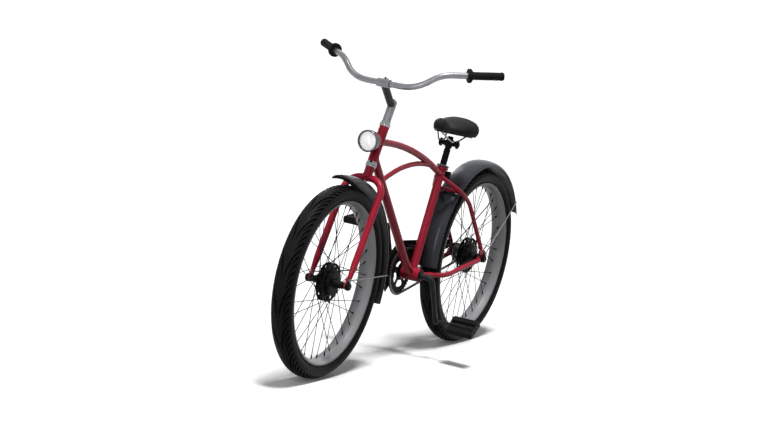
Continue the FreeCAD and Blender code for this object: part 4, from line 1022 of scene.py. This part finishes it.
weld = dict(bead=2.3, ripple=0.35, turns=48, topHigh=139, topLow=396, topKnee=(303.44, 0, 850.2),
            topBack=(-160, 0, 729.5), downHigh=80, downFoot=(63, 0, 41))


# the bead where one round tube meets another
def weldBead(target, start, way, radius, axisPoint, axisWay, axisRadius):
    way = way.normalized()
    axisWay = axisWay.normalized()
    place = standing(start, way)
    flat = way - axisWay * way.dot(axisWay)
    stations = []
    for number in range(weld["turns"]):
        angle = number * 2 * math.pi / weld["turns"]
        foot = place @ Vector((radius * math.cos(angle), radius * math.sin(angle), 0))
        off = foot - axisPoint
        off = off - axisWay * off.dot(axisWay)
        a = flat.dot(flat)
        b = 2 * flat.dot(off)
        c = off.dot(off) - axisRadius ** 2
        inside = max(b * b - 4 * a * c, 0.0)
        stations.append(foot + way * ((-b + math.sqrt(inside)) / (2 * a)))
    sizes = [weld["bead"] + weld["ripple"] * math.cos(number * math.pi) for number in range(weld["turns"])]
    beaded(target, stations, way, sizes, 8)


def onSteer(distance):
    return crown + steerWay * distance


def onSeat(distance):
    return bracket + seatWay * distance


def buildWelds():
    high, low, under = onSteer(weld["topHigh"]), onSeat(weld["topLow"]), onSteer(weld["downHigh"])
    foot = Vector(weld["downFoot"])
    head, post, shell = (crown, steerWay, 18), (bracket, seatWay, 15.9), (bracket, sideways, 25)
    beads = ((high, Vector(weld["topKnee"]) - high, 12.7, *head),
             (low, Vector(weld["topBack"]) - low, 12.7, *post),
             (under, bracket + foot - under, 15.9, *head), (bracket, seatWay, 15.9, *shell),
             (bracket, foot, 15.9, *shell))
    crownBead = (crown, steerWay, 17, crown, sideways, 12.7)
    for name, body, rows in (("frameWelds", "frame", beads), ("forkWeld", "fork", (crownBead,))):
        bm = bmesh.new()
        for row in rows:
            weldBead(bm, *row)
        outward(bm)
        addPiece(name, bm, "frame_paint", body, (), 60)


buildWelds()
print("welds done")

collar = dict(top=434.0, ear=(13, 7.8, 14), earOut=25.0, earLow=9.0, earSide=5.1, bolt=13.0)


def buildCollar():
    top = onSeat(collar["top"])
    back = seatWay.cross(sideways)
    flange = [(16.3, 0), (22.5, 0), (24.6, -1.4), (24.6, -5), (22.5, -6.6), (19.6, -7.4), (16.3, -7.4)]
    bm = spun(softened(flange, 0.8), top, seatWay, 48)
    turn = Matrix((back, sideways, seatWay)).transposed().to_4x4()
    centre = top + back * collar["earOut"] - seatWay * collar["earLow"]
    for side in (1, -1):
        place = Matrix.Translation(centre + sideways * (side * collar["earSide"])) @ turn
        ear = boxed(place, collar["ear"])
        rounded(ear, ear.edges[:], 2, 3)
        merged(bm, ear)
    rod(bm, centre - sideways * collar["bolt"], centre + sideways * collar["bolt"], 4.0, 6)
    outward(bm)
    # the flange takes the darker chrome copy: painted shade
    addPiece("collarFlange", bm, "bright_chrome", "frame", ("seat_collar",), 40, paintedShadeChrome)
    band = [(16.2, -7.6), (19.2, -7.6), (19.5, -9), (19.5, -18.5), (18.6, -20), (16.2, -20)]
    addPiece("collarBand", spun(softened(band, 0.8), top, seatWay, 48), "frame_paint", "frame")


buildCollar()
print("collar done")

stage = dict(floorRadius=70.0, floorShade=0.13, floorPale=0.92, floorGlow=0.05, fill=0.13, white=1.0)


def seenRays(root):  # rays that show the white: from the camera, mirrored in metal and through glass
    rays = root.node("ShaderNodeLightPath").socket.node.outputs
    kinds = ("Is Camera Ray", "Is Glossy Ray", "Is Transmission Ray")
    camera, mirrored, through = [Socket(root.tree, rays[kind]) for kind in kinds]
    return camera + mirrored + through


def buildFloor():
    bm = bmesh.new()
    bmesh.ops.create_circle(bm, cap_ends=True, radius=stage["floorRadius"], segments=64)
    material = bpy.data.materials.new("paleFloor")
    root = emptyTree(material)
    seen = seenRays(root)
    tone = tint(root, seen, [stage["floorShade"]] * 3, [stage["floorPale"]] * 3)
    matt = root.node("ShaderNodeBsdfDiffuse", sockets={"Color": tone})
    glowing = {"Color": (1, 1, 1, 1), "Strength": seen * stage["floorGlow"]}
    glow = root.node("ShaderNodeEmission", sockets=glowing)
    both = root.node("ShaderNodeAddShader", sockets={0: matt, 1: glow})
    root.node("ShaderNodeOutputMaterial", sockets={"Surface": both})
    floor = linked("floor", meshOf("floor", bm, 1))
    floor.data.materials.append(material)


def buildWorld():
    world = bpy.data.worlds.new("studio")
    scene.world = world
    root = emptyTree(world)
    strength = root.node("ShaderNodeMix", {}, {0: seenRays(root), 2: stage["fill"], 3: stage["white"]})
    back = root.node("ShaderNodeBackground", sockets={"Color": (1, 1, 1, 1), "Strength": strength})
    root.node("ShaderNodeOutputWorld", sockets={"Surface": back})


lights = dict(
    softSun=("SUN", (0, 0, 0), (-0.14, -0.12, -1), dict(energy=3.3, angle=math.radians(13))),
    frontSoftbox=("AREA", (4.6, 0.6, 2.2), (0.1, 0.0, 0.6),
                  dict(energy=52, shape="RECTANGLE", size=0.36, size_y=2.4)),
    backStrip=("AREA", (-3.0, -2.6, 2.8), (-0.2, 0.0, 0.6),
               dict(energy=20, shape="RECTANGLE", size=0.8, size_y=2.8)))


def addLights():
    for name, (kind, place, target, settings) in lights.items():
        data = bpy.data.lights.new(name, kind)
        setAll(data, settings)
        light = linked(name, data)
        light.location = place
        light.rotation_mode = "QUATERNION"
        light.rotation_quaternion = (Vector(target) - Vector(place)).to_track_quat("-Z", "Y")


def addCamera():
    shot = dict(azimuth=64.283, elevation=8.623, roll=8.6175, focal=2356.96, distance=8.8978, across=0.0089,
                upward=0.5208, width=780.0, sensor=36.0, far=200.0)
    azimuth, elevation = math.radians(shot["azimuth"]), math.radians(shot["elevation"])
    back = Vector((math.sin(azimuth) * math.cos(elevation), math.cos(azimuth) * math.cos(elevation),
                   math.sin(elevation)))
    level = Vector((0, 0, 1)).cross(back).normalized()
    upright = back.cross(level)
    roll = math.radians(shot["roll"])
    right = level * math.cos(roll) + upright * math.sin(roll)
    up = upright * math.cos(roll) - level * math.sin(roll)
    data = bpy.data.cameras.new("camera")
    data.sensor_width = shot["sensor"]
    data.lens = shot["sensor"] * shot["focal"] / shot["width"]
    data.clip_end = shot["far"]
    camera = linked("camera", data)
    turn = Matrix((right, up, back)).transposed().to_4x4()
    place = right * shot["across"] + up * shot["upward"] + back * shot["distance"]
    camera.matrix_world = Matrix.Translation(place) @ turn
    scene.camera = camera


buildFloor()
buildWorld()
addLights()
addCamera()
scene.view_settings.view_transform = "Standard"
print("stage, light and camera set")
